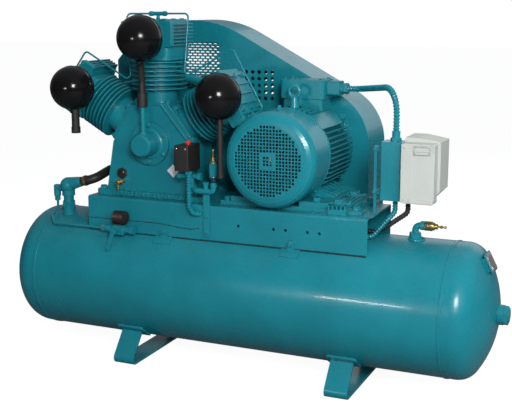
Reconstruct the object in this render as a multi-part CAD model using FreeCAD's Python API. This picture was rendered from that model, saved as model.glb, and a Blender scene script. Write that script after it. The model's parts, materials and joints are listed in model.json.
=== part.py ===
"""Horizontal-tank piston compressor: W-type pump, belt drive, motor, receiver.

Millimetres, +Z up, +X along the receiver, +Y towards the belt side.
The origin is on the floor, midway between the two feet.
"""
import FreeCAD
import Part
import math
import os

V = FreeCAD.Vector

# ---------------------------------------------------------------- dimensions
# receiver
TANK_R = 225.0
TANK_WALL = 6.0
TANK_Z = 290.0
TANK_X0 = -766.0
TANK_X1 = 736.0
END_STRAIGHT = 30.0
KNUCKLE_R = 69.3
CROWN_R = 360.0
CROWN_BACK = math.sqrt((CROWN_R - KNUCKLE_R) ** 2 - (TANK_R - KNUCKLE_R) ** 2)
END_DEPTH = CROWN_R - CROWN_BACK
BEAD = 2.0
# feet
FOOT_X = 401.7
FOOT_W = 80.0
FOOT_T = 8.0
FOOT_HALF_SPAN = 223.0
FOOT_TOP_Y = 128.0
FOOT_TOP_Z = 122.0
FOOT_HOLE_Y = 170.0
FOOT_HOLE_R = 7.0
PAD_T = 6.0
PAD_LEN = 110.0
# base frame
BASE_X0 = -575.0
BASE_X1 = 477.0
BASE_HALF = 136.0
BASE_TOP = 595.0
BASE_T = 6.0
BASE_BOTTOM = 473.0
# pump
PUMP_X = -345.0
CRANK_Z = 788.0
BANK = 60.0
CASE_FRONT = -75.0
CASE_REAR = 95.0
DECK = 134.0
DECK_HALF = 77.0
CASE_WALL = 10.0
BORE_R = 52.0
FIN_R = 98.0
FIN_START = 190.0
FIN_PITCH = 15.5
FIN_T = 4.5
FIN_N = 7
CYL_TOP = 304.0
PLATE_T = 10.0
HEAD_BASE = CYL_TOP + PLATE_T
HEAD_LOWS = {-1: 320.0, 0: 339.0, 1: 320.0}
HEAD_TOPS = {-1: 380.0, 0: 432.0, 1: 380.0}
HEAD_FIN_PITCH = 12.0
HEAD_HALF_X = 98.0
HEAD_CORE_X = 78.0
HEAD_SHIFT = {-1: 22.0, 0: 0.0, 1: 6.0}
HEAD_FRONT = -90.0
HEAD_REAR = 76.0
CRANK_R = 42.0
ROD_LEN = 208.0
ROD_W = 22.0
ROD_GAP = 26.0
PISTON_R = 51.8
CROWN = 50.0
PIN_R = 12.0
CRANKPIN_R = 24.0
JOURNAL_R = 25.0
# drive
PULLEY_Y0 = 318.0
PULLEY_Y1 = 378.0
GROOVES = 3
GROOVE_PITCH = 19.0
FLY_R = 210.0
FLY_PITCH_R = 205.0
PULLEY_R = 87.0
PULLEY_PITCH_R = 82.0
RUN = 0.05
# guard
GUARD_Y0 = 252.0
GUARD_Y1 = 445.0
GUARD_T = 2.0
GUARD_BIG_R = 426.0
GUARD_SMALL_R = 208.0
GUARD_LEFT = -673.0
GUARD_BOTTOM = 474.0
# motor
MOTOR_X = 150.0
MOTOR_Z = 768.0
COVER_R = 160.0
COVER_Y0 = -182.0
COVER_Y1 = -26.0
BODY_Y1 = 235.0
BODY_R = 132.0
BODY_FIN_R = 158.0
SHAFT_R = 21.0
RAIL_TOP = 608.0


# ------------------------------------------------------------------- helpers
def box(x0, x1, y0, y1, z0, z1):
    """Block between two opposite corners."""
    return Part.makeBox(x1 - x0, y1 - y0, z1 - z0, V(x0, y0, z0))


def cyl(p, axis, r, h):
    """Cylinder of radius r from point p along axis for length h."""
    return Part.makeCylinder(r, h, V(*p), V(*axis))


def cone(p, axis, r1, r2, h):
    """Truncated cone from point p along axis."""
    return Part.makeCone(r1, r2, h, V(*p), V(*axis))


def ring(p, axis, r_out, r_in, h):
    """Tube segment from point p along axis."""
    return cyl(p, axis, r_out, h).cut(cyl(p, axis, r_in, h))


def fuse(shapes):
    """One clean solid from touching shapes."""
    return shapes[0].multiFuse(shapes[1:]).removeSplitter()


def cut(shape, tools):
    """Shape less every tool."""
    return shape.cut(Part.makeCompound(tools))


def hexagon(p, axis, across, h):
    """Hexagonal prism with the given width across flats."""
    r = across / math.sqrt(3.0)
    pts = [V(r * math.cos(math.pi * k / 3), r * math.sin(math.pi * k / 3), 0) for k in range(7)]
    prism = Part.Face(Part.makePolygon(pts)).extrude(V(0, 0, h))
    turn = FreeCAD.Rotation(V(0, 0, 1), V(*axis))
    prism.Placement = FreeCAD.Placement(V(*p), turn)
    return prism


def bolt(p, axis, d, shank):
    """Hex bolt with washer; p is the clamped surface and axis points out of it."""
    a = V(*axis)
    a.normalize()
    base = V(*p)
    washer = cyl(base, a, d * 1.05, d * 0.2)
    head = hexagon(base + a * (d * 0.2), a, d * 1.6, d * 0.65)
    leg = cyl(base - a * shank, a, d / 2.0, shank)
    return fuse([washer, head, leg])


def bolt_hole(p, axis, d, depth):
    """Clearance hole for a bolt placed at the same point."""
    a = V(*axis)
    a.normalize()
    return cyl(V(*p) - a * depth, a, d / 2.0 + 0.15, depth + 1.0)


def path_wire(points, bend):
    """Polyline with every inner corner rounded to the bend radius."""
    pts = [V(*q) for q in points]
    edges = []
    start = pts[0]
    for k in range(1, len(pts) - 1):
        a = (pts[k - 1] - pts[k]).normalize()
        b = (pts[k + 1] - pts[k]).normalize()
        half = a.getAngle(b) / 2.0
        back = bend / math.tan(half)
        t0 = pts[k] + a * back
        t1 = pts[k] + b * back
        mid = (a + b).normalize()
        centre = pts[k] + mid * (bend / math.sin(half))
        edges.append(Part.makeLine(start, t0))
        edges.append(Part.Arc(t0, centre - mid * bend, t1).toShape())
        start = t1
    edges.append(Part.makeLine(start, pts[-1]))
    return Part.Wire(edges)


def pipe(points, r, bend):
    """Round bar swept along a polyline with rounded corners."""
    wire = path_wire(points, bend)
    normal = V(*points[1]) - V(*points[0])
    circle = Part.Wire([Part.makeCircle(r, V(*points[0]), normal)])
    return wire.makePipeShell([circle], True, False)


def hose(points, r, r_in, bend):
    """Hollow pipe along a polyline with rounded corners."""
    return pipe(points, r, bend).cut(pipe(points, r_in, bend))


def prism_y(points, y0, y1):
    """Polygon given as (x, z) pairs, extruded from y0 to y1."""
    pts = [V(x, y0, z) for x, z in points]
    pts.append(pts[0])
    return Part.Face(Part.makePolygon(pts)).extrude(V(0, y1 - y0, 0))


def rounded_box(x0, x1, y0, y1, z0, z1, r, direction):
    """Block with the four edges parallel to one direction rounded."""
    block = box(x0, x1, y0, y1, z0, z1)
    edges = []
    for edge in block.Edges:
        d = edge.Vertexes[1].Point - edge.Vertexes[0].Point
        if abs(abs(d.normalize().dot(V(*direction))) - 1.0) < 0.001:
            edges.append(edge)
    return block.makeFillet(r, edges)


def revolve_y(points, x, z):
    """Turned part about a line parallel to Y; points are (y, radius) pairs."""
    pts = [V(x + r, y, z) for y, r in points]
    pts.append(pts[0])
    return Part.Face(Part.makePolygon(pts)).revolve(V(x, 0, z), V(0, 1, 0), 360)


def bank(shape, side):
    """Lean a shape built on the vertical bank to bank -1, 0 or +1."""
    out = shape.copy()
    out.rotate(V(PUMP_X, 0, CRANK_Z), V(0, 1, 0), BANK * side)
    return out


def head_mid(side):
    """Height of the ports of one head above the crank axis."""
    return (HEAD_LOWS[side] + HEAD_TOPS[side]) / 2 - 5


def bank_point(u, y, d, side):
    """World point at height d along a bank, u across it."""
    a = math.radians(BANK * side)
    x = PUMP_X + d * math.sin(a) + u * math.cos(a)
    z = CRANK_Z + d * math.cos(a) - u * math.sin(a)
    return (x, y, z)


def tank_solid(extra):
    """Solid cylinder of the receiver grown by extra."""
    length = TANK_X1 - TANK_X0
    return cyl((TANK_X0, 0, TANK_Z), (1, 0, 0), TANK_R + extra, length)


def tank_surface_z(y):
    """Height of the receiver skin at a given y."""
    return TANK_Z + math.sqrt(TANK_R ** 2 - y ** 2)


# ------------------------------------------------------------------ receiver
CHECK_X = -712.0
CHECK_Y = -60.0
SAFETY_X = 602.0
SAFETY_Y = -10.0
SAFE_TOP = 562.0
LINE_R = 4.5
DRAIN_X = 0.0
DRAIN_Z = 62.0
SOCKET_R = 24.0


def tank_shell():
    """Rolled shell with ports and the two girth weld beads."""
    shell = tank_solid(0).cut(tank_solid(-TANK_WALL))
    beads = []
    for x in (TANK_X0, TANK_X1):
        beads.append(ring((x - 4, 0, TANK_Z), (1, 0, 0), TANK_R + BEAD, TANK_R, 8))
    shell = fuse([shell] + beads)
    holes = [
        cyl((CHECK_X, CHECK_Y, TANK_Z), (0, 0, 1), 14.5, 240),
        cyl((SAFETY_X, SAFETY_Y, TANK_Z), (0, 0, 1), 12, 240),
        cyl((DRAIN_X, 0, 40), (0, 0, 1), 10, 60),
    ]
    return cut(shell, holes)


def dish_arcs(shrink):
    """Knuckle and crown arcs of the dish, moved inwards by shrink."""
    xs = TANK_X1 + END_STRAIGHT
    knuckle = V(xs, 0, TANK_R - KNUCKLE_R)
    crown = V(xs - CROWN_BACK, 0, 0)
    slope = (knuckle - crown).getAngle(V(1, 0, 0))
    r_k = KNUCKLE_R - shrink
    r_c = CROWN_R - shrink

    def at(centre, r, angle):
        return centre + V(r * math.cos(angle), 0, r * math.sin(angle))

    top = at(knuckle, r_k, math.pi / 2)
    join = at(knuckle, r_k, slope)
    tip = at(crown, r_c, 0)
    bend = Part.Arc(top, at(knuckle, r_k, (slope + math.pi / 2) / 2), join).toShape()
    cap = Part.Arc(join, at(crown, r_c, slope / 2), tip).toShape()
    return top, [bend, cap], tip


def spin_end(edges):
    """Revolve a closed profile about the receiver axis."""
    face = Part.Face(Part.Wire(Part.__sortEdges__(edges)))
    dish = face.revolve(V(0, 0, 0), V(1, 0, 0), 360)
    dish.translate(V(0, 0, TANK_Z))
    return dish


def tank_end():
    """Right dished end with its straight flange."""
    top, outer, tip = dish_arcs(0)
    top_in, inner, tip_in = dish_arcs(TANK_WALL)
    rim = V(TANK_X1, 0, TANK_R)
    rim_in = V(TANK_X1, 0, TANK_R - TANK_WALL)
    lines = [Part.makeLine(rim, top), Part.makeLine(tip, tip_in), Part.makeLine(top_in, rim_in),
             Part.makeLine(rim_in, rim)]
    return spin_end(outer + inner + lines)


def tank_end_left():
    """Left dish: the right one turned about."""
    dish = tank_end()
    dish.rotate(V((TANK_X0 + TANK_X1) / 2, 0, 0), V(0, 0, 1), 180)
    return dish


END_TIP = TANK_X1 + END_STRAIGHT + END_DEPTH
PLUG_R = 33.0


def tank_end_right():
    """Right dish with the inspection port bored through its centre."""
    return tank_end().cut(cyl((800, 0, TANK_Z), (1, 0, 0), 20, 120))


def end_solid():
    """Filled form of the right dish, used to seat fittings on it."""
    top, outer, tip = dish_arcs(0)
    rim = V(TANK_X1, 0, TANK_R)
    middle = V(TANK_X1, 0, 0)
    lines = [Part.makeLine(rim, top), Part.makeLine(tip, middle), Part.makeLine(middle, rim)]
    return spin_end(outer + lines)


def tank_sockets():
    """Welded threaded bosses: check valve, safety valve, drain and end port."""
    check = ring((CHECK_X, CHECK_Y, 490), (0, 0, 1), SOCKET_R, 14.5, 40)
    safety = ring((SAFETY_X, SAFETY_Y, 490), (0, 0, 1), 20, 11, 38)
    drain = ring((DRAIN_X, 0, DRAIN_Z), (0, 0, 1), 18, 10, 20)
    end = ring((END_TIP - 14, 0, TANK_Z), (1, 0, 0), PLUG_R, 20, 30)
    bosses = []
    for boss in (check, safety, drain):
        bosses.append(boss.cut(tank_solid(0)))
    bosses.append(end.cut(end_solid()))
    return Part.makeCompound(bosses)


def end_plug():
    """Hex plug screwed in the end port."""
    x = END_TIP + 16
    body = hexagon((x, 0, TANK_Z), (1, 0, 0), 56, 14)
    stem = cyl((x - 20, 0, TANK_Z), (1, 0, 0), 19.8, 20)
    face = cyl((x + 14, 0, TANK_Z), (1, 0, 0), 24, 3)
    return fuse([body, stem, face])


def drain_plug():
    """Flush condensate plug with a hex socket in the bottom boss."""
    stem = cyl((DRAIN_X, 0, DRAIN_Z), (0, 0, 1), 9.8, 16)
    return stem.cut(hexagon((DRAIN_X, 0, DRAIN_Z - 1), (0, 0, 1), 9, 8))


NAME_X = 850.0
NAME_Z = 462.0
NAME_LEAN = -27.0


def lean_plate(shape):
    """Tilt a nameplate piece to follow the slope of the dish."""
    shape.rotate(V(NAME_X, 0, NAME_Z), V(0, 1, 0), NAME_LEAN)
    return shape


def nameplate_bracket():
    """Small welded bracket for the data plate."""
    plate = box(NAME_X - 3, NAME_X, -34, 34, NAME_Z - 28, NAME_Z + 28)
    arms = [box(NAME_X - 40, NAME_X - 2, s * 28 - 3, s * 28 + 3, NAME_Z - 20, NAME_Z + 20) for s in (-1, 1)]
    return lean_plate(fuse([plate] + arms)).cut(end_solid())


def data_plate():
    """Blank data plate riveted on the bracket."""
    plate = box(NAME_X, NAME_X + 1.2, -30, 30, NAME_Z - 24, NAME_Z + 24)
    rivets = []
    for y in (-25, 25):
        for z in (NAME_Z - 19, NAME_Z + 19):
            rivets.append(cyl((NAME_X + 1, y, z), (1, 0, 0), 2.2, 1.6))
    return lean_plate(fuse([plate] + rivets))


def feet():
    """Two bent flat-bar feet with floor bolt holes."""
    half = FOOT_T / 2.0
    out = []
    for sx in (-1, 1):
        x = sx * FOOT_X
        pts = [
            (x, -FOOT_TOP_Y, FOOT_TOP_Z),
            (x, -FOOT_HALF_SPAN, half),
            (x, FOOT_HALF_SPAN, half),
            (x, FOOT_TOP_Y, FOOT_TOP_Z),
        ]
        wire = path_wire(pts, 16)
        along = (V(*pts[1]) - V(*pts[0])).normalize()
        side = V(1, 0, 0)
        up = along.cross(side)
        corners = []
        for a, b in ((-1, -1), (1, -1), (1, 1), (-1, 1), (-1, -1)):
            corners.append(V(*pts[0]) + side * (a * FOOT_W / 2) + up * (b * half))
        strap = wire.makePipeShell([Part.makePolygon(corners)], True, False)
        holes = []
        for y in (-FOOT_HOLE_Y, FOOT_HOLE_Y):
            holes.append(cyl((x, y, -1), (0, 0, 1), FOOT_HOLE_R, FOOT_T + 2))
        out.append(cut(strap, holes + [tank_solid(PAD_T)]))
    return Part.makeCompound(out)


def foot_pads():
    """Curved doubler plates welded between feet and shell."""
    skin = tank_solid(PAD_T).cut(tank_solid(0))
    out = []
    for sx in (-1, 1):
        for sy in (-1, 1):
            x = sx * FOOT_X
            y0, y1 = sorted((sy * 98.0, sy * 162.0))
            block = rounded_box(x - PAD_LEN / 2, x + PAD_LEN / 2, y0, y1, 60, 150, 12, (0, 0, 1))
            out.append(skin.common(block))
    return Part.makeCompound(out)


# ---------------------------------------------------------------- base frame
LUG_X = (-265.0, 215.0)
LUG_T = 5.0
LUG_HALF = 13.0
LUG_BOLT_Z = 489.0
LUG_PAD_T = 3.0
PUMP_BOLT_X = 202.0
PUMP_BOLT_Y = 72.0


def pump_bolt_spots():
    """Plan positions of the four pump hold-down bolts."""
    spots = []
    for x in (PUMP_X - PUMP_BOLT_X, PUMP_X + PUMP_BOLT_X):
        for y in (-PUMP_BOLT_Y, PUMP_BOLT_Y):
            spots.append((x, y))
    return spots


def rail_bolt_spots():
    """Plan positions of the bolts that hold the motor rails down."""
    spots = []
    for x in (MOTOR_X - 200, MOTOR_X + 265):
        for y in RAIL_Y:
            spots.append((x, y))
    return spots


RAIL_Y = (-60.0, 100.0)
FOOT_PAD_T = 18.0
FOOT_BOLT_X = 127.0


def motor_bolt_spots():
    """Plan positions of the motor foot bolts, on the rails."""
    return [(MOTOR_X + sx * FOOT_BOLT_X, y) for sx in (-1, 1) for y in RAIL_Y]


def lug_bolt_spots(side):
    """Centres of the lug bolts on the front (-1) or rear (+1) flange."""
    spots = []
    for x in LUG_X:
        spots.append((x, side * (BASE_HALF + LUG_T), LUG_BOLT_Z))
    return spots


def base_frame():
    """Folded channel that carries the pump and the motor."""
    outer = box(BASE_X0, BASE_X1, -BASE_HALF, BASE_HALF, BASE_BOTTOM, BASE_TOP)
    edges = []
    for edge in outer.Edges:
        c = edge.CenterOfMass
        if edge.Length > 1000 and c.z > BASE_TOP - 1:
            edges.append(edge)
    outer = outer.makeFillet(8, edges)
    inner = box(BASE_X0 - 1, BASE_X1 + 1, -BASE_HALF + BASE_T, BASE_HALF - BASE_T,
                BASE_BOTTOM - 1, BASE_TOP - BASE_T)
    frame = outer.cut(inner).cut(tank_solid(0))
    holes = []
    for x in (23, 152, 195, 273, 315):
        holes.append(cyl((x, -BASE_HALF - 1, 533), (0, 1, 0), 5, 10))
    for x, y in pump_bolt_spots() + rail_bolt_spots():
        holes.append(cyl((x, y, BASE_TOP - 20), (0, 0, 1), 7.2, 30))
    for side in (-1, 1):
        for p in lug_bolt_spots(side):
            holes.append(bolt_hole(p, (0, side, 0), 8, 20))
    for x, z in STRAP_BOLTS:
        holes.append(bolt_hole((x, -BASE_HALF - 5, z), (0, -1, 0), 6, 16))
    for x, y in BRACKET_BOLTS:
        holes.append(bolt_hole((x, y, BASE_TOP + 4), (0, 0, 1), 6, 16))
    for x in GUARD_ARM_X:
        holes.append(bolt_hole((x, BASE_HALF + 5, 560), (0, 1, 0), 8, 18))
    return cut(frame, holes)


STRAP_BOLTS = ((-94.0, 500.0), (-94.0, 556.0))
BRACKET_BOLTS = ((459.0, -108.0), (459.0, -60.0))
GUARD_ARM_X = (-520.0, 300.0)


def base_lugs():
    """Angle lugs that tie the base flanges to the receiver."""
    lugs = []
    for side in (-1, 1):
        for x in LUG_X:
            y0, y1 = sorted((side * (BASE_HALF + 0.05), side * (BASE_HALF + LUG_T)))
            plate = box(x - LUG_HALF, x + LUG_HALF, y0, y1, 440, LUG_BOLT_Z)
            crown = cyl((x, y0, LUG_BOLT_Z), (0, 1, 0), LUG_HALF, y1 - y0)
            toe0, toe1 = sorted((side * (BASE_HALF - 4), side * (BASE_HALF + 24)))
            toe = box(x - 34, x + 34, toe0, toe1, 430, BASE_BOTTOM - 0.5).common(tank_solid(LUG_PAD_T))
            lug = fuse([plate, crown, toe]).cut(tank_solid(0))
            lugs.append(cut(lug, [bolt_hole(p, (0, side, 0), 8, 20) for p in lug_bolt_spots(side)]))
    return Part.makeCompound(lugs)


def base_bolts():
    """Lug bolts, pump hold-down bolts and rail bolts."""
    out = []
    for side in (-1, 1):
        for p in lug_bolt_spots(side):
            out.append(bolt(p, (0, side, 0), 8, 14))
    for x, y in pump_bolt_spots():
        out.append(bolt((x, y, BASE_TOP + 18), (0, 0, 1), 14, 30))
    for x, y in rail_bolt_spots():
        out.append(bolt((x, y, RAIL_TOP), (0, 0, 1), 14, 26))
    for x, y in motor_bolt_spots():
        out.append(bolt((x, y, RAIL_TOP + FOOT_PAD_T), (0, 0, 1), 14, 30))
    return Part.makeCompound(out)


# ---------------------------------------------------------------------- pump
def case_profile(shrink):
    """Outline of the crankcase section, moved inwards by shrink."""
    top = DECK - shrink
    half = DECK_HALF - shrink * 0.58
    knee = 2 * DECK_HALF - shrink * 1.1
    foot = 188.0 - shrink
    low = BASE_TOP - CRANK_Z + shrink
    pts = [(-half, top), (half, top), (knee, 0), (foot, low), (-foot, low), (-knee, 0)]
    return [(PUMP_X + x, CRANK_Z + z) for x, z in pts]


def crankcase():
    """Cast crankcase with three decks, bearing bores and a ribbed foot."""
    body = prism_y(case_profile(0), CASE_FRONT, CASE_REAR)
    foot = rounded_box(PUMP_X - 222, PUMP_X + 222, -92, 98, BASE_TOP, BASE_TOP + 18, 14, (0, 0, 1))
    ribs = []
    for k in range(21):
        x = PUMP_X - 147 + 15 * k
        ribs.append(box(x, x + 7, -98, -90, BASE_TOP + 3, BASE_TOP + 17))
    shape = fuse([body, foot] + ribs)
    cavity = prism_y(case_profile(CASE_WALL), CASE_FRONT + CASE_WALL, CASE_REAR - CASE_WALL)
    tools = [cavity, cyl((PUMP_X, -200, CRANK_Z), (0, 1, 0), 62, 400)]
    for side in (-1, 0, 1):
        tools.append(bank(cyl((PUMP_X, 0, CRANK_Z + 90), (0, 0, 1), 62, 80), side))
        for u, y in deck_spots():
            p = (PUMP_X + u, y, CRANK_Z + DECK)
            tools.append(bank(bolt_hole(p, (0, 0, 1), 10, 9), side))
    for x, y in pump_bolt_spots():
        tools.append(cyl((x, y, BASE_TOP - 1), (0, 0, 1), 7.2, 60))
    for p in cover_spots(66.0, CASE_FRONT - 12):
        tools.append(bolt_hole(p, (0, -1, 0), 8, 22))
    for p in cover_spots(72.0, CASE_REAR + 12):
        tools.append(bolt_hole(p, (0, 1, 0), 8, 22))
    tools.append(cyl((GLASS_X, CASE_FRONT - 1, GLASS_Z), (0, 1, 0), 12.2, 9))
    tools.append(cyl((GLASS_X, CASE_FRONT - 1, GLASS_Z - DRAIN_DROP), (0, 1, 0), 8.2, 9))
    return cut(shape, tools)


GLASS_X = -464.0
GLASS_Z = 675.0
DRAIN_DROP = 30.0


def cover_spots(r, y):
    """Six bolt centres on a circle about the crank axis."""
    spots = []
    for k in range(6):
        a = math.radians(30 + 60 * k)
        spots.append((PUMP_X + r * math.cos(a), y, CRANK_Z + r * math.sin(a)))
    return spots


def front_cover():
    """Front bearing cover with the long round boss and breather seat."""
    y = CASE_FRONT
    profile = [(y, 26), (y, 76), (y - 12, 76), (y - 12, 55), (y - 16, 50), (y - 16, 42), (y - 70, 40),
               (y - 78, 34), (y - 78, 0), (y - 66, 0), (y - 66, 26)]
    cover = revolve_y(profile, PUMP_X, CRANK_Z)
    nose = cyl((PUMP_X, y - 48, CRANK_Z + 30), (0, 0, 1), 17, 16)
    inside = cyl((PUMP_X, y - 66, CRANK_Z), (0, 1, 0), 26, 66)
    cover = cover.fuse(nose).cut(inside).removeSplitter()
    spots = [bolt_hole(p, (0, -1, 0), 8, 30) for p in cover_spots(66.0, y - 12)]
    breather = cyl((PUMP_X, y - 48, CRANK_Z + 20), (0, 0, 1), 9, 40)
    return cut(cover, spots + [breather])


def rear_cover():
    """Rear bearing carrier and oil seal housing."""
    y = CASE_REAR
    profile = [(y, 26), (y, 82), (y + 12, 82), (y + 12, 62), (y + 16, 60), (y + 36, 50), (y + 36, 26)]
    cover = revolve_y(profile, PUMP_X, CRANK_Z)
    return cut(cover, [bolt_hole(p, (0, 1, 0), 8, 30) for p in cover_spots(72.0, y + 12)])


def cover_bolts():
    """Bolts of the front and rear bearing covers."""
    out = [bolt(p, (0, -1, 0), 8, 18) for p in cover_spots(66.0, CASE_FRONT - 12)]
    out += [bolt(p, (0, 1, 0), 8, 18) for p in cover_spots(72.0, CASE_REAR + 12)]
    return Part.makeCompound(out)


def main_bearings():
    """Ball-bearing outer and inner rings with balls at both journals."""
    out = []
    for y in (CASE_FRONT + 2, CASE_REAR - 22):
        out.append(ring((PUMP_X, y, CRANK_Z), (0, 1, 0), 61.8, 52, 20))
        out.append(ring((PUMP_X, y, CRANK_Z), (0, 1, 0), 35, JOURNAL_R + 0.1, 20))
        for k in range(9):
            a = 2 * math.pi * k / 9
            p = V(PUMP_X + 43.5 * math.cos(a), y + 10, CRANK_Z + 43.5 * math.sin(a))
            out.append(Part.makeSphere(8.45, p))
    return Part.makeCompound(out)


def crankshaft():
    """Single-throw crankshaft with counterweights and tapered nose end."""
    parts = [
        cyl((PUMP_X, -136, CRANK_Z), (0, 1, 0), JOURNAL_R, 90),
        cyl((PUMP_X, 48, CRANK_Z), (0, 1, 0), JOURNAL_R, 352),
        cyl((PUMP_X, -48, CRANK_Z + CRANK_R), (0, 1, 0), CRANKPIN_R, 98),
    ]
    for y in (-52, 40):
        web = box(PUMP_X - 34, PUMP_X + 34, y, y + 12, CRANK_Z - 70, CRANK_Z + CRANK_R)
        weight = cyl((PUMP_X, y, CRANK_Z), (0, 1, 0), 88, 12)
        lower = box(PUMP_X - 90, PUMP_X + 90, y, y + 12, CRANK_Z - 90, CRANK_Z - 22)
        tip = cyl((PUMP_X, y, CRANK_Z + CRANK_R), (0, 1, 0), 34, 12)
        parts += [web, weight.common(lower), tip]
    shaft = fuse(parts)
    thread = cyl((PUMP_X, 400, CRANK_Z), (0, 1, 0), 12, 30)
    return shaft.fuse(thread).removeSplitter()


def piston_height(side):
    """Gudgeon-pin distance from the crank axis with the crank at the top."""
    a = math.radians(BANK * side)
    return CRANK_R * math.cos(a) + math.sqrt(ROD_LEN ** 2 - (CRANK_R * math.sin(a)) ** 2)


def rod_y(side):
    """Axial centre of the rod that serves one bank."""
    return ROD_GAP * side


def connecting_rods():
    """Three rods side by side on the crankpin."""
    out = []
    for side in (-1, 0, 1):
        y0 = rod_y(side) - ROD_W / 2
        big = V(PUMP_X, 0, CRANK_Z + CRANK_R)
        small = V(*bank_point(0, 0, piston_height(side), side))
        along = (small - big).normalize()
        lean = math.degrees(math.atan2(along.x, along.z))
        big_end = cyl((PUMP_X, y0, CRANK_Z + CRANK_R), (0, 1, 0), 38, ROD_W)
        small_end = cyl((PUMP_X, y0, big.z + ROD_LEN), (0, 1, 0), 21, ROD_W)
        shank = box(PUMP_X - 13, PUMP_X + 13, y0 + 5, y0 + ROD_W - 5, big.z + 30, big.z + ROD_LEN - 15)
        rod = fuse([big_end, small_end, shank])
        rod.rotate(big, V(0, 1, 0), lean)
        eye = cyl((small.x, y0 - 1, small.z), (0, 1, 0), PIN_R + 0.1, ROD_W + 2)
        journal = cyl((PUMP_X, y0 - 1, big.z), (0, 1, 0), CRANKPIN_R + 0.1, ROD_W + 2)
        out.append(cut(rod, [eye, journal]))
    return Part.makeCompound(out)


def pistons():
    """Trunk pistons with ring grooves, one per bank."""
    out = []
    for side in (-1, 0, 1):
        z = CRANK_Z + piston_height(side)
        body = cyl((PUMP_X, 0, z - 32), (0, 0, 1), PISTON_R, 32 + CROWN)
        hollow = cyl((PUMP_X, 0, z - 33), (0, 0, 1), 44, 33 + CROWN - 10)
        tools = [hollow, cyl((PUMP_X, -60, z), (0, 1, 0), PIN_R + 0.1, 120)]
        for dz in (20, 30, 40):
            tools.append(ring((PUMP_X, 0, z + dz), (0, 0, 1), PISTON_R + 1, 48.5, 3.2))
        out.append(bank(cut(body, tools), side))
    return Part.makeCompound(out)


def piston_rings():
    """Compression and scraper rings with their end gaps."""
    out = []
    for side in (-1, 0, 1):
        z = CRANK_Z + piston_height(side)
        for dz in (20.1, 30.1, 40.1):
            hoop = ring((PUMP_X, 0, z + dz), (0, 0, 1), PISTON_R + 0.15, 48.6, 3.0)
            gap = box(PUMP_X - 1, PUMP_X + 1, 40, 60, z + dz - 1, z + dz + 4)
            out.append(bank(hoop.cut(gap), side))
    return Part.makeCompound(out)


def gudgeon_pins():
    """Hollow gudgeon pins."""
    out = []
    for side in (-1, 0, 1):
        p = bank_point(0, -46, piston_height(side), side)
        out.append(ring(p, (0, 1, 0), PIN_R, 6, 92))
    return Part.makeCompound(out)


def deck_spots():
    """Bolt positions on the cylinder base flange, (u, y) pairs."""
    return [(u, y) for u in (-62, 62) for y in (-56, 56)]


def head_spots():
    """Bolt positions on the head, (u, y) pairs."""
    return [(u, y) for u in (-60, 60) for y in (-66, 0, 62)]


def cylinder():
    """Finned cast cylinder on the vertical bank."""
    z = CRANK_Z
    flange = rounded_box(PUMP_X - 74, PUMP_X + 74, -70, 70, z + DECK, z + DECK + 12, 16, (0, 0, 1))
    parts = [flange, cyl((PUMP_X, 0, z + DECK), (0, 0, 1), 66, CYL_TOP - DECK)]
    for k in range(FIN_N):
        parts.append(cyl((PUMP_X, 0, z + FIN_START + k * FIN_PITCH), (0, 0, 1), FIN_R, FIN_T))
    top = rounded_box(PUMP_X - 82, PUMP_X + 82, -82, 82, z + CYL_TOP - 12, z + CYL_TOP, 26, (0, 0, 1))
    parts.append(top)
    shape = fuse(parts)
    tools = [cyl((PUMP_X, 0, z + DECK - 1), (0, 0, 1), BORE_R, CYL_TOP)]
    for u, y in deck_spots():
        tools.append(bolt_hole((PUMP_X + u, y, z + DECK + 12), (0, 0, 1), 10, 20))
        tools.append(cyl((PUMP_X + u, y, z + DECK + 12), (0, 0, 1), 11, 22))
    for u, y in head_spots():
        tools.append(bolt_hole((PUMP_X + u, y, z + CYL_TOP), (0, 0, 1), 10, 10))
    return cut(shape, tools)


def cylinder_bolts():
    """Base-flange bolts of the three cylinders."""
    out = []
    for side in (-1, 0, 1):
        for u, y in deck_spots():
            p = (PUMP_X + u, y, CRANK_Z + DECK + 12)
            out.append(bank(bolt(p, (0, 0, 1), 10, 19), side))
    return Part.makeCompound(out)


def valve_plate():
    """Reed-valve plate with suction and discharge ports."""
    z = CRANK_Z + CYL_TOP
    plate = rounded_box(PUMP_X - 84, PUMP_X + 84, -84, 80, z, z + PLATE_T, 20, (0, 0, 1))
    tools = []
    for u, y in head_spots():
        tools.append(bolt_hole((PUMP_X + u, y, z + PLATE_T), (0, 0, 1), 10, 12))
    for u in (-22, 0, 22):
        for y in (-24, 24):
            tools.append(cyl((PUMP_X + u, y, z - 1), (0, 0, 1), 7, PLATE_T + 2))
    return cut(plate, tools)


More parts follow.
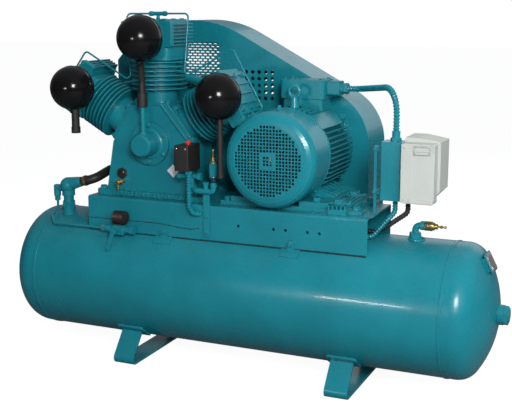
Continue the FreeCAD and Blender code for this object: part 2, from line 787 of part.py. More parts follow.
def cylinder_head(side):
    """Cast head with side fins, smooth front and two gas chambers."""
    z = CRANK_Z
    low = z + HEAD_LOWS[side]
    top = z + HEAD_TOPS[side]
    lid = top - HEAD_LID
    skirt = rounded_box(PUMP_X - 84, PUMP_X + 84, -84, 80, z + HEAD_BASE, low, 20, (0, 0, 1))
    mid = PUMP_X + HEAD_SHIFT[side]
    core = box(mid - HEAD_SHIFT[side] / 2 - HEAD_CORE_X, mid + HEAD_CORE_X, HEAD_FRONT, HEAD_REAR, low - 2, lid)
    face = rounded_box(mid - HEAD_HALF_X, mid + HEAD_HALF_X, HEAD_FRONT, HEAD_FRONT + 22,
                       low - 1, lid, 7, (0, 1, 0))
    parts = [skirt, core, face]
    for k in range(int((lid - low - 2) / HEAD_FIN_PITCH)):
        zf = low + 2 + HEAD_FIN_PITCH * k
        parts.append(box(mid - HEAD_HALF_X, mid + HEAD_HALF_X, HEAD_FRONT + 8, HEAD_REAR,
                         zf, zf + 5))
    for k in range(5):
        x = mid - 74 + 35 * k
        parts.append(box(x, x + 8, HEAD_FRONT + 6, HEAD_REAR - 4, top - 8, top))
    feed_u, feed_y = FEED[side]
    parts.append(cyl((PUMP_X + feed_u, feed_y, low + 4), (0, 0, 1), 12, lid - low - 4))
    shape = fuse(parts)
    tools = [
        box(PUMP_X - 46, PUMP_X + 46, -48, -5, z + HEAD_BASE - 1, top - 22),
        box(PUMP_X - 46, PUMP_X + 46, 5, 48, z + HEAD_BASE - 1, top - 22),
        cyl((PUMP_X, 40, z + head_mid(side)), (0, 1, 0), 12, 60),
        cyl((PUMP_X + feed_u, feed_y, lid - 24), (0, 0, 1), 4, 40),
        cyl((PUMP_X + feed_u, feed_y, lid), (0, 0, 1), 12, 10),
    ]
    for u, y in head_spots():
        p = (PUMP_X + u, y, lid)
        tools.append(bolt_hole(p, (0, 0, 1), 10, 120))
        tools.append(cyl(p, (0, 0, 1), 12, 10))
    return cut(shape, tools)


HEAD_LID = 6.0
FEED = {-1: (-62.5, -34.0), 0: (0.0, 0.0), 1: (90.0, -34.0)}


def head_on(side):
    """Head of one bank with its intake hole."""
    shape = bank(cylinder_head(side), side)
    centre, seat = intake_line(side)
    axis = centre - seat
    hole = cyl(seat - axis * 0.6, axis, 15, axis.Length * 0.8)
    return shape.cut(hole)


def head_bolts():
    """Through bolts of the three heads."""
    out = []
    for side in (-1, 0, 1):
        for u, y in head_spots():
            p = (PUMP_X + u, y, CRANK_Z + HEAD_TOPS[side] - HEAD_LID)
            out.append(bank(bolt(p, (0, 0, 1), 10, HEAD_TOPS[side] - CYL_TOP + 2), side))
    return Part.makeCompound(out)


def sight_glass():
    """Brass-rimmed oil sight glass."""
    stem = cyl((GLASS_X, CASE_FRONT, GLASS_Z), (0, 1, 0), 12, 7)
    rim = hexagon((GLASS_X, CASE_FRONT - 8, GLASS_Z), (0, 1, 0), 34, 8)
    lens = cyl((GLASS_X, CASE_FRONT - 10, GLASS_Z), (0, 1, 0), 11, 4)
    return fuse([stem, rim, lens])


def oil_drain():
    """Brass oil drain plug below the sight glass."""
    z = GLASS_Z - DRAIN_DROP
    stem = cyl((GLASS_X, CASE_FRONT - 10, z), (0, 1, 0), 8, 16)
    head = hexagon((GLASS_X, CASE_FRONT - 22, z), (0, 1, 0), 18, 12)
    return fuse([stem, head])


def breather_pipe():
    """Steel breather riser on the front boss."""
    return hose([(PUMP_X, BREATH_Y, CRANK_Z + 36), (PUMP_X, BREATH_Y, BREATH_TOP)], 8.9, 6, 1)


BREATH_TOP = CRANK_Z + 150
BREATH_Y = -123.0


def breather_hose():
    """Black hose with cuff from the riser to the centre air filter."""
    x = PUMP_X
    cuff = ring((x, BREATH_Y, BREATH_TOP - 16), (0, 0, 1), 18.5, 9, 48)
    centre = filter_centre(0)
    top = (x + 6, BREATH_Y - 20, centre.z - 60)
    tube = hose([(x, BREATH_Y, BREATH_TOP + 4), (x, BREATH_Y, BREATH_TOP + 70), top], 12, 8.9, 60)
    lower = cyl((x, BREATH_Y, BREATH_TOP - 16), (0, 0, 1), 8.95, 50)
    shape = cuff.fuse(tube).removeSplitter().cut(lower)
    return shape.cut(Part.makeSphere(FILTER_R + 2.5, centre))


# --------------------------------------------------------------- air filters
FILTER_R = 77.0
FILTER_Y = -176.0
INTAKE_RISE = {-1: 17.0, 0: -14.5, 1: 17.0}


def filter_centre(side):
    """Centre of the air filter on one bank."""
    spots = {-1: (-597.0, 984.0), 0: (-320.0, 1159.0), 1: (-30.0, 972.0)}
    x, z = spots[side]
    return V(x, FILTER_Y, z)


def intake_line(side):
    """Filter centre and the point where the intake pipe meets the head."""
    centre = filter_centre(side)
    seat = V(*bank_point(0, HEAD_FRONT, head_mid(side) + INTAKE_RISE[side], side))
    seat = seat + (centre - seat) * 0.35
    seat.y = HEAD_FRONT
    return centre, seat


def air_filter(side):
    """Round filter canister with a central nut."""
    centre = filter_centre(side)
    ball = Part.makeSphere(FILTER_R, centre)
    core = Part.makeSphere(FILTER_R - 3, centre)
    shell = ball.cut(core)
    seam = ring((centre.x, centre.y + 20, centre.z), (0, 1, 0), FILTER_R - 1.2, FILTER_R - 6, 5)
    return shell.fuse(seam).removeSplitter()


def intake_pipes():
    """Short flanged pipes between heads and filters."""
    out = []
    for side in (-1, 0, 1):
        centre, seat = intake_line(side)
        axis = centre - seat
        tube = cyl(seat - axis * 0.2, axis, 24, axis.Length * 1.1)
        flange = cyl(seat + V(0, -8, 0), (0, 1, 0), 27, 8)
        body = fuse([tube, flange])
        front = box(seat.x - 90, seat.x + 90, HEAD_FRONT, 0, seat.z - 90, seat.z + 90)
        bore = cyl(seat - axis * 0.3, axis, 16, axis.Length * 1.5)
        out.append(cut(body, [front, bore, Part.makeSphere(FILTER_R + 0.05, centre)]))
    return Part.makeCompound(out)


def intake_snouts():
    """Black inlet tubes below the outer filters."""
    out = []
    for side, x, bottom, r in ((-1, -588.0, 826.0, 14.0), (1, -22.0, 702.0, 10.0)):
        centre = filter_centre(side)
        tube = ring((x, FILTER_Y, bottom), (0, 0, 1), r, r - 3, centre.z - bottom)
        lip = ring((x, FILTER_Y, bottom), (0, 0, 1), r + 2, r - 3, 22)
        snout = fuse([tube, lip]).cut(Part.makeSphere(FILTER_R + 0.05, centre))
        solids = sorted(snout.Solids, key=lambda s: s.CenterOfMass.z)
        out.append(solids[0])
    return Part.makeCompound(out)


# ------------------------------------------------------------ unloader lines
TUBE_R = 3.2
TEE_Z = 1239.0


def unloader_tee():
    """Tee fitting that feeds the head unloader tubes."""
    x = PUMP_X
    z_top = CRANK_Z + HEAD_TOPS[0] - HEAD_LID
    post = cyl((x, 0, z_top - 14), (0, 0, 1), 3.9, 26)
    nut = hexagon((x, 0, z_top), (0, 0, 1), 15, 10)
    neck = cyl((x, 0, z_top + 10), (0, 0, 1), 6, TEE_Z - z_top - 10)
    run = cyl((x - 20, 0, TEE_Z), (1, 0, 0), 7, 40)
    ends = [hexagon((x - 34, 0, TEE_Z), (1, 0, 0), 15, 14), hexagon((x + 20, 0, TEE_Z), (1, 0, 0), 15, 14)]
    bore = cyl((x - 40, 0, TEE_Z), (1, 0, 0), TUBE_R, 80)
    return fuse([post, nut, neck, run] + ends).cut(bore)


def unloader_points(side):
    """Corner points of the tube that serves an outer head."""
    u, y = FEED[side]
    corner, foot, peak = TUBE_KNEES[side]
    knee = bank_point(u * 1.07, y, HEAD_TOPS[side] + 48, side)
    end = bank_point(u, y, HEAD_TOPS[side] + 3, side)
    return [(PUMP_X + side * 21, 0, TEE_Z), (corner, 0, TEE_Z), (foot[0], y, foot[1]),
            (peak[0], y, peak[1]), knee, end]


TUBE_KNEES = {
    -1: (-473.0, (-442.0, 1000.0), (-629.0, 1107.0)),
    1: (-225.0, (-228.0, 1021.0), (-40.0, 1122.0)),
}
TUBE_BEND = 15.0


def unloader_tubes():
    """Bent steel tubes from the tee to the outer heads."""
    out = []
    for side in (-1, 1):
        u, y = FEED[side]
        lid = CRANK_Z + HEAD_TOPS[side] - HEAD_LID
        tube = pipe(unloader_points(side), TUBE_R, TUBE_BEND)
        nut = bank(hexagon((PUMP_X + u, y, lid), (0, 0, 1), 15, 16), side)
        stem = bank(cyl((PUMP_X + u, y, lid - 10), (0, 0, 1), 3.9, 12), side)
        out.append(fuse([tube, nut, stem]))
    return Part.makeCompound(out)


# ------------------------------------------------------------ delivery lines
PORT_Y = 150.0
COLLECT_Z = 1010.0


def delivery_pipes():
    """Rear delivery pipes from the heads down to the hose connection."""
    top = bank_point(0, HEAD_REAR + 0.05, head_mid(0), 0)
    parts = []
    drop = [top, (PUMP_X, PORT_Y, top[2]), (PUMP_X, PORT_Y, COLLECT_Z)]
    parts.append(pipe(drop, 14, 30))
    for side in (-1, 1):
        p = bank_point(0, HEAD_REAR + 0.05, head_mid(side), side)
        run = [p, (p[0], PORT_Y, p[2]), (PUMP_X, PORT_Y, COLLECT_Z)]
        parts.append(pipe(run, 14, 30))
        parts.append(cyl(p, (0, 1, 0), 25, 12))
    parts.append(cyl(top, (0, 1, 0), 30, 12))
    parts.append(Part.makeSphere(26, V(PUMP_X, PORT_Y, COLLECT_Z)))
    tail = [(PUMP_X, PORT_Y, COLLECT_Z), (PUMP_X - 110, PORT_Y, 900), (PUMP_X - 110, PORT_Y, 700),
            (PUMP_X - 160, PORT_Y, 690)]
    parts.append(pipe(tail, 14, 30))
    return fuse(parts)


HOSE_END = (PUMP_X - 158, PORT_Y, 690.4)


def spigot_point(t):
    """Point at distance t along the spigot of the check valve elbow."""
    along = V(60, 0, 14).normalize()
    return tuple(V(CHECK_X + 50, CHECK_Y, ELBOW_Z - 6) + along * t)


def delivery_hose():
    """Black rubber delivery hose to the check valve elbow."""
    pts = [(PUMP_X - 130, PORT_Y, 696), HOSE_END, (-590, 40, 662), spigot_point(70), spigot_point(14)]
    hose_body = pipe(pts, 17, 34)
    return cut(hose_body, [delivery_pipes(), check_elbow_solid()])


def hose_clamp():
    """Band clamp on the hose beside the check valve elbow."""
    return ring(spigot_point(24), (60, 0, 14), 19.5, 17.05, 10)


ELBOW_Z = 632.0


def check_elbow_solid():
    """Cast tee body above the check valve, without bores."""
    ball = Part.makeSphere(30, V(CHECK_X, CHECK_Y, ELBOW_Z - 22))
    neck = cyl((CHECK_X, CHECK_Y, ELBOW_Z - 60), (0, 0, 1), 24, 40)
    arm = cone((CHECK_X, CHECK_Y, ELBOW_Z - 18), (60, 0, 14), 26, 18, 62)
    spigot = cyl((CHECK_X + 50, CHECK_Y, ELBOW_Z - 6), (60, 0, 14), 13, 52)
    side = cyl((CHECK_X - 56, CHECK_Y, ELBOW_Z - 34), (1, 0, 0), 13, 50)
    down = cyl((CHECK_X - 50, CHECK_Y, ELBOW_Z - 64), (0, 0, 1), 13, 40)
    return fuse([ball, neck, arm, spigot, side, down])


def check_valve():
    """Vertical check valve screwed in its boss, topped by the tee body."""
    z0 = tank_surface_z(CHECK_Y) - 10
    stem = cyl((CHECK_X, CHECK_Y, z0), (0, 0, 1), 14.3, 40)
    hexa = hexagon((CHECK_X, CHECK_Y, 530), (0, 0, 1), 44, 20)
    body = cyl((CHECK_X, CHECK_Y, 550), (0, 0, 1), 19, 30)
    return fuse([stem, hexa, body, check_elbow_solid()])


LINE_Y = -158.0
LINE_Z = 486.0
VALVE_X = -432.0


def pilot_line():
    """Small steel tube from the check valve to the ball valve."""
    x = CHECK_X - 50
    z0 = ELBOW_Z - 64
    nut = hexagon((x, CHECK_Y, z0 - 18), (0, 0, 1), 20, 18)
    pts = [(x, CHECK_Y, z0 - 10), (x, CHECK_Y, z0 - 44), (x + 14, -120, 505),
           (x + 50, LINE_Y, LINE_Z), (VALVE_X - 66, LINE_Y, LINE_Z)]
    tube = pipe(pts, LINE_R, 14)
    return tube.fuse(nut).removeSplitter()


def ball_valve_body():
    """Brass-nutted ball valve block with its round black coil."""
    x0 = VALVE_X - 66
    nut = hexagon((x0 + 0.05, LINE_Y, LINE_Z), (1, 0, 0), 20, 16)
    body = cyl((x0 + 16, LINE_Y, LINE_Z), (1, 0, 0), 13, 110)
    block = box(VALVE_X - 22, VALVE_X + 22, LINE_Y - 16, LINE_Y + 16, LINE_Z - 17, LINE_Z + 17)
    tailnut = hexagon((x0 + 110, LINE_Y, LINE_Z), (1, 0, 0), 28, 16)
    shape = fuse([nut, body, block, tailnut])
    spindle = cyl((VALVE_X, LEVER_Y - 4, LINE_Z), (0, 1, 0), 5, 36)
    foot = box(VALVE_X + 24, VALVE_X + 44, LINE_Y, -BASE_HALF - 0.05, LINE_Z - 8, LINE_Z + 12)
    return fuse([shape, spindle, foot])


def valve_coil():
    """Round black pilot cap above the valve block."""
    z = LINE_Z + 17.05
    stem = cyl((VALVE_X + 8, LINE_Y, z), (0, 0, 1), 9, 12)
    cap = cyl((VALVE_X + 8, LINE_Y - 20, z + 28), (0, 1, 0), 25, 28)
    return fuse([stem, cap])


LEVER_Y = LINE_Y - 45.0


LEVER_LEN = 66.0
LEVER_REST = 20.0


def ball_valve_lever():
    """Flat lever on the valve spindle."""
    hub = ring((VALVE_X, LEVER_Y - 3, LINE_Z), (0, 1, 0), 11, 5 + RUN, 8)
    arm = box(VALVE_X - 8, VALVE_X + 8, LEVER_Y - 3, LEVER_Y + 1, LINE_Z - LEVER_LEN, LINE_Z - 8)
    end = cyl((VALVE_X, LEVER_Y - 3, LINE_Z - LEVER_LEN), (0, 1, 0), 8, 4)
    lever = fuse([hub, arm, end])
    lever.rotate(V(VALVE_X, LEVER_Y, LINE_Z), V(0, 1, 0), LEVER_REST)
    return lever


# ------------------------------------------------- pressure switch and risers
SW_X0 = -200.0
SW_X1 = -150.0
SW_Y0 = -170.0
SW_Y1 = -77.0
SW_Z0 = 713.0
SW_Z1 = 800.0
KNOB_X = -153.5
KNOB_Y = -152.0


def pressure_switch():
    """Black switch housing."""
    body = rounded_box(SW_X0, SW_X1 + 4, SW_Y0, SW_Y1, SW_Z0, SW_Z1, 5, (0, 0, 1))
    lip = box(SW_X0 - 1, SW_X1 + 5, SW_Y0 + 8, SW_Y1 - 8, SW_Z0, SW_Z0 + 14)
    well = cyl((KNOB_X - 12, KNOB_Y + 20, SW_Z1 - 12), (0, 0, 1), 5 + RUN, 14)
    port = cyl((MANI_X, MANI_Y, SW_Z0 - 1), (0, 0, 1), 8.1, 12)
    return fuse([body, lip]).cut(well).cut(port)


def switch_knob():
    """Red pull knob on the switch."""
    x = KNOB_X - 12
    y = KNOB_Y + 20
    stem = cyl((x, y, SW_Z1 - 4), (0, 0, 1), 5, 10)
    cap = cyl((x, y, SW_Z1 + 4), (0, 0, 1), 9, 10)
    cap = cap.makeFillet(2, [e for e in cap.Edges if e.CenterOfMass.z > SW_Z1 + 13])
    return fuse([stem, cap])


MANI_X = -165.0
MANI_Y = -127.0


def manifold():
    """Small manifold under the switch with side ports."""
    z = SW_Z0 - 22
    stem = cyl((MANI_X, MANI_Y, z), (0, 0, 1), 8, 30)
    run = cyl((MANI_X - 36, MANI_Y, z), (1, 0, 0), 9, 80)
    caps = [hexagon((MANI_X - 42, MANI_Y, z), (1, 0, 0), 24, 14),
            hexagon((MANI_X + 34, MANI_Y, z), (1, 0, 0), 24, 14)]
    foot_z = PIPE_Z + 14.05
    leg = cyl((MANI_X + 8, MANI_Y, foot_z), (0, 0, 1), 10, z - foot_z)
    return fuse([stem, run, leg] + caps)


PIPE_Y = -146.0
PIPE_Z = 646.0
RISER_X = -63.0


def riser_pipework():
    """Horizontal branch with stub and the elbow under the relief valve."""
    x0 = MANI_X + 8
    parts = [
        cyl((x0, MANI_Y, PIPE_Z - 12), (0, 0, 1), 13, 26),
        pipe([(x0, MANI_Y, PIPE_Z), (x0 + 30, PIPE_Y, PIPE_Z), (RISER_X, PIPE_Y, PIPE_Z),
              (RISER_X, PIPE_Y, PIPE_Z + 34)], 10, 13),
        cyl((-92, PIPE_Y, PIPE_Z), (0, 0, 1), 9, 24),
        hexagon((-92, PIPE_Y, PIPE_Z + 24), (0, 0, 1), 20, 8),
        cyl((RISER_X, PIPE_Y, PIPE_Z + 16), (0, 0, 1), 12, 10),
    ]
    return fuse(parts)


def relief_nipple():
    """Black threaded nipple and lock ring below the relief valve."""
    z = PIPE_Z + 34.05
    nipple = cyl((RISER_X, PIPE_Y, z), (0, 0, 1), 11, 16)
    lock = hexagon((RISER_X, PIPE_Y, z + 16), (0, 0, 1), 24, 4)
    return fuse([nipple, lock])


RELIEF_FRONT = ((RISER_X, PIPE_Y, PIPE_Z + 54.1), (0, 0, 1), 46.0)
RELIEF_TANK = ((SAFETY_X + 30.1, SAFETY_Y, SAFE_TOP), (1, 0, 0), 26.0)


def relief_bodies():
    """Relief valve bodies of the manifold and of the receiver."""
    return group(relief_body(*RELIEF_FRONT), relief_body(*RELIEF_TANK))


def relief_body(p, axis, length):
    """Safety valve body: hex housing with a bored crown."""
    a = V(*axis)
    base = V(*p)
    body = hexagon(base, a, 27, length)
    collar = cyl(base + a * length, a, 11, 6)
    bore = cyl(base + a * (length - 16), a, 3 + RUN, 30)
    return fuse([body, collar]).cut(bore)


def relief_stem(p, axis, length):
    """Brass lifting stem with crown and ring eye."""
    a = V(*axis)
    base = V(*p) + a * (length - 14)
    rod = cyl(base, a, 3, 60)
    crown = cyl(base + a * 20.5, a, 9, 10)
    eye = cyl(base + a * 40, a, 5, 6)
    tip = cyl(base + a * 54, a, 4.5, 4)
    return fuse([rod, crown, eye, tip])


def switch_conduit():
    """Flexible conduit from the switch down into the base flange."""
    x = -154.0
    y = -152.0
    pts = [(x, y, SW_Z0 - 0.05), (x, y, 588), (x + 14, y, 567), (x + 38, -BASE_HALF - 0.2, 563)]
    gland = hexagon((x, y, SW_Z0 - 12), (0, 0, 1), 22, 11.9)
    return fuse([pipe(pts, 8, 10), gland]).cut(box(-300, 0, -BASE_HALF, 0, 500, 620))


def support_strap():
    """Flat strap bolted on the base flange that carries the branch pipe."""
    y0 = -BASE_HALF - 5
    y1 = -BASE_HALF - 0.05
    strap = box(-106, -82, y0, y1, 486, PIPE_Z + 4)
    tools = [bolt_hole((x, y0, z), (0, -1, 0), 6, 16) for x, z in STRAP_BOLTS]
    return cut(strap, tools + [riser_pipework()])


def strap_bolts():
    """Bolts of the strap, the control bracket and the guard arms."""
    out = [bolt((x, -BASE_HALF - 5, z), (0, -1, 0), 6, 12) for x, z in STRAP_BOLTS]
    out += [bolt((x, y, BASE_TOP + 4), (0, 0, 1), 6, 12) for x, y in BRACKET_BOLTS]
    out += [bolt((x, BASE_HALF + 5, 560), (0, 1, 0), 8, 14) for x in GUARD_ARM_X]
    return Part.makeCompound(out)


# ------------------------------------------------------- tank safety valve


def safety_elbow():
    """Elbow on the right boss, turned towards the tank end."""
    bottom = tank_surface_z(SAFETY_Y) + 2
    pts = [(SAFETY_X, SAFETY_Y, bottom), (SAFETY_X, SAFETY_Y, SAFE_TOP), (SAFETY_X + 30, SAFETY_Y, SAFE_TOP)]
    bend = pipe(pts, 10.9, 18)
    collar = hexagon((SAFETY_X, SAFETY_Y, 528.05), (0, 0, 1), 34, 10)
    rim = cyl((SAFETY_X + 18, SAFETY_Y, SAFE_TOP), (1, 0, 0), 15, 12)
    return fuse([bend, collar, rim])


# --------------------------------------------------------------------- drive
def belt_points(r_big, r_small):
    """Tangent geometry shared by the belt and the guard outline."""
    dx = MOTOR_X - PUMP_X
    dz = MOTOR_Z - CRANK_Z
    base = math.atan2(dz, dx)
    spread = math.acos((r_big - r_small) / math.hypot(dx, dz))
    return base + spread, base - spread


def loop_face(r_big, r_small, y):
    """Closed two-pulley loop as a planar face at one y."""
    up, down = belt_points(r_big, r_small)
    c1 = V(PUMP_X, y, CRANK_Z)
    c2 = V(MOTOR_X, y, MOTOR_Z)

    def on(c, r, a):
        return c + V(r * math.cos(a), 0, r * math.sin(a))

    far = (up + down) / 2 + math.pi
    near = (up + down) / 2
    edges = [
        Part.makeLine(on(c1, r_big, up), on(c2, r_small, up)),
        Part.Arc(on(c2, r_small, up), on(c2, r_small, near), on(c2, r_small, down)).toShape(),
        Part.makeLine(on(c2, r_small, down), on(c1, r_big, down)),
        Part.Arc(on(c1, r_big, down), on(c1, r_big, far), on(c1, r_big, up)).toShape(),
    ]
    return Part.Face(Part.Wire(edges))


def groove_y(k):
    """Centre of one V-groove."""
    return (PULLEY_Y0 + PULLEY_Y1) / 2 + (k - (GROOVES - 1) / 2.0) * GROOVE_PITCH


def v_belts():
    """Three V-belts between flywheel and motor pulley."""
    out = []
    for k in range(GROOVES):
        y = groove_y(k)
        outer = loop_face(FLY_R - 0.6, PULLEY_R - 0.6, y - 5.0).extrude(V(0, 10.0, 0))
        inner = loop_face(FLY_R - 9, PULLEY_R - 9, y - 6).extrude(V(0, 12, 0))
        out.append(outer.cut(inner))
    return Part.makeCompound(out)


def grooves(r, x, z):
    """Turned V-groove tools for a pulley of radius r."""
    tools = []
    for k in range(GROOVES):
        y = groove_y(k)
        tools.append(revolve_y([(y - 8.5, r + 1), (y + 8.5, r + 1), (y + 6.2, r - 12), (y - 6.2, r - 12)], x, z))
    return tools


def flywheel():
    """Grooved flywheel with five fan-bladed spokes."""
    p = (PUMP_X, PULLEY_Y0, CRANK_Z)
    width = PULLEY_Y1 - PULLEY_Y0
    rim = ring(p, (0, 1, 0), FLY_R, FLY_R - 24, width)
    hub = cyl((PUMP_X, PULLEY_Y0 - 10, CRANK_Z), (0, 1, 0), 48, width + 14)
    parts = [rim, hub]
    for k in range(5):
        blade = box(PUMP_X - 17, PUMP_X + 17, PULLEY_Y0 + 22, PULLEY_Y0 + 36,
                    CRANK_Z + 40, CRANK_Z + FLY_R - 20)
        mid = V(PUMP_X, PULLEY_Y0 + 29, CRANK_Z)
        blade.rotate(mid, V(0, 0, 1), 28)
        blade.rotate(mid, V(0, 1, 0), 72 * k)
        parts.append(blade)
    wheel = fuse(parts)
    bore = cyl((PUMP_X, PULLEY_Y0 - 20, CRANK_Z), (0, 1, 0), JOURNAL_R + RUN, width + 60)
    return cut(wheel, grooves(FLY_R, PUMP_X, CRANK_Z) + [bore])


def crank_nut():
    """Washer and nut that retain the flywheel."""
    y = PULLEY_Y1 + 22.05
    washer = ring((PUMP_X, y, CRANK_Z), (0, 1, 0), 34, 12.1, 5)
    nut = hexagon((PUMP_X, y + 5, CRANK_Z), (0, 1, 0), 36, 16)
    return fuse([washer, nut]).cut(cyl((PUMP_X, y - 1, CRANK_Z), (0, 1, 0), 12.1, 40))


def motor_pulley():
    """Three-groove pulley on the motor shaft."""
    width = PULLEY_Y1 - PULLEY_Y0
    wheel = cyl((MOTOR_X, PULLEY_Y0, MOTOR_Z), (0, 1, 0), PULLEY_R, width)
    recess = ring((MOTOR_X, PULLEY_Y1 - 20, MOTOR_Z), (0, 1, 0), 62, 36, 21)
    bore = cyl((MOTOR_X, PULLEY_Y0 - 1, MOTOR_Z), (0, 1, 0), SHAFT_R + 0.02, width + 2)
    return cut(wheel, grooves(PULLEY_R, MOTOR_X, MOTOR_Z) + [recess, bore])


def guard_face(grow, y):
    """Guard outline: big arch over the flywheel, small arch over the motor."""
    r_big = GUARD_BIG_R + grow
    r_small = GUARD_SMALL_R + grow
    up = belt_points(r_big, r_small)[0]
    left = GUARD_LEFT - grow
    low = GUARD_BOTTOM - grow
    right = MOTOR_X + r_small
    rise = math.sqrt(r_big ** 2 - (PUMP_X - left) ** 2)
    start = math.atan2(rise, left - PUMP_X)
    c1 = V(PUMP_X, y, CRANK_Z)
    c2 = V(MOTOR_X, y, MOTOR_Z)

    def on(c, r, a):
        return c + V(r * math.cos(a), 0, r * math.sin(a))

    edges = [
        Part.makeLine(V(left, y, low), V(left, y, CRANK_Z + rise)),
        Part.Arc(V(left, y, CRANK_Z + rise), on(c1, r_big, (start + up) / 2), on(c1, r_big, up)).toShape(),
        Part.makeLine(on(c1, r_big, up), on(c2, r_small, up)),
        Part.Arc(on(c2, r_small, up), on(c2, r_small, up / 2), on(c2, r_small, 0)).toShape(),
        Part.makeLine(on(c2, r_small, 0), V(right, y, low)),
        Part.makeLine(V(right, y, low), V(left, y, low)),
    ]
    return Part.Face(Part.Wire(edges))


def slot_field(y):
    """Rows of ventilation slots and round holes for a guard panel."""
    tools = []
    for row in range(17):
        z = 958.0 + 10.5 * row
        for col in range(11):
            x = -470.0 + 22.0 * col + (11.0 if row % 2 else 0.0)
            slot = box(x, x + 12, y - 5, y + 8, z, z + 6)
            tools.append(slot)
            tools.append(cyl((x, y - 5, z + 3), (0, 1, 0), 3, 13))
            tools.append(cyl((x + 12, y - 5, z + 3), (0, 1, 0), 3, 13))
    for row in range(5):
        for col in range(5):
            tools.append(cyl((-120 + 26 * col, y - 5, 930 + 24 * row), (0, 1, 0), 7, 13))
    field = tools[0].multiFuse(tools[1:])
    return field


def guard_bolt_spots():
    """Rim positions of the guard cover screws."""
    inset = 16.0
    slope = belt_points(GUARD_BIG_R, GUARD_SMALL_R)[0]
    out_x = math.cos(slope)
    out_z = math.sin(slope)
    high = (PUMP_X + (GUARD_BIG_R - inset) * out_x, CRANK_Z + (GUARD_BIG_R - inset) * out_z)
    near = (MOTOR_X + (GUARD_SMALL_R - inset) * out_x, MOTOR_Z + (GUARD_SMALL_R - inset) * out_z)
    spots = [(-655, 520), (-655, 760), (-655, 1000), (-345, 1196)]
    for t in (0.3, 0.8):
        spots.append((high[0] + (near[0] - high[0]) * t, high[1] + (near[1] - high[1]) * t))
    return spots + [(320, 860), (338, 700), (338, 520), (90, 492), (-160, 492), (-420, 492)]


def belt_guard_body():
    """Guard box: front panel, rim band and inner screw tabs."""
    band = guard_face(0, GUARD_Y0).extrude(V(0, GUARD_Y1 - GUARD_T - GUARD_Y0, 0))
    hollow = guard_face(-GUARD_T, GUARD_Y0 + GUARD_T).extrude(V(0, 300, 0))
    shape = band.cut(hollow)
    tabs = []
    inside = guard_face(-0.5, GUARD_Y1 - 12).extrude(V(0, 10, 0))
    for x, z in guard_bolt_spots():
        tabs.append(cyl((x, GUARD_Y1 - 12, z), (0, 1, 0), 20, 10).common(inside))
    shape = fuse([shape] + tabs)
    tools = [
        cyl((PUMP_X, 0, CRANK_Z), (0, 1, 0), 56, 300),
        cyl((MOTOR_X, 0, MOTOR_Z), (0, 1, 0), 70, 300),
        slot_field(GUARD_Y0),
    ]
    for x, z in guard_bolt_spots():
        tools.append(bolt_hole((x, GUARD_Y1, z), (0, 1, 0), 6, 16))
    for x in GUARD_ARM_X:
        tools.append(bolt_hole((x, GUARD_Y0, 540), (0, -1, 0), 8, 12))
    return cut(shape, tools)


def belt_guard_cover():
    """Rear cover panel of the guard."""
    panel = guard_face(0, GUARD_Y1 - GUARD_T + 0.02).extrude(V(0, GUARD_T - 0.02, 0))
    tools = [slot_field(GUARD_Y1 - GUARD_T)]
    for x, z in guard_bolt_spots():
        tools.append(bolt_hole((x, GUARD_Y1, z), (0, 1, 0), 6, 16))
    return cut(panel, tools)


def guard_bolts():
    """Screws around the guard cover."""
    return Part.makeCompound([bolt((x, GUARD_Y1, z), (0, 1, 0), 6, 12) for x, z in guard_bolt_spots()])


def guard_arms():
    """Folded arms that hold the guard on the rear base flange."""
    out = []
    y0 = BASE_HALF + 0.05
    y1 = GUARD_Y0 - 0.05
    for x in GUARD_ARM_X:
        web = box(x + 20, x + 25, y0, y1, 520, 585)
        near = box(x - 20, x + 22, y0, BASE_HALF + 5, 540, 580)
        far = box(x - 20, x + 22, y1 - 5, y1, 520, 560)
        arm = fuse([web, near, far])
        tools = [bolt_hole((x, BASE_HALF + 5, 560), (0, 1, 0), 8, 18),
                 bolt_hole((x, y1 - 5, 540), (0, -1, 0), 8, 12)]
        out.append(cut(arm, tools))
        out.append(bolt((x, y1 - 5, 540), (0, -1, 0), 8, 9))
    return Part.makeCompound(out)


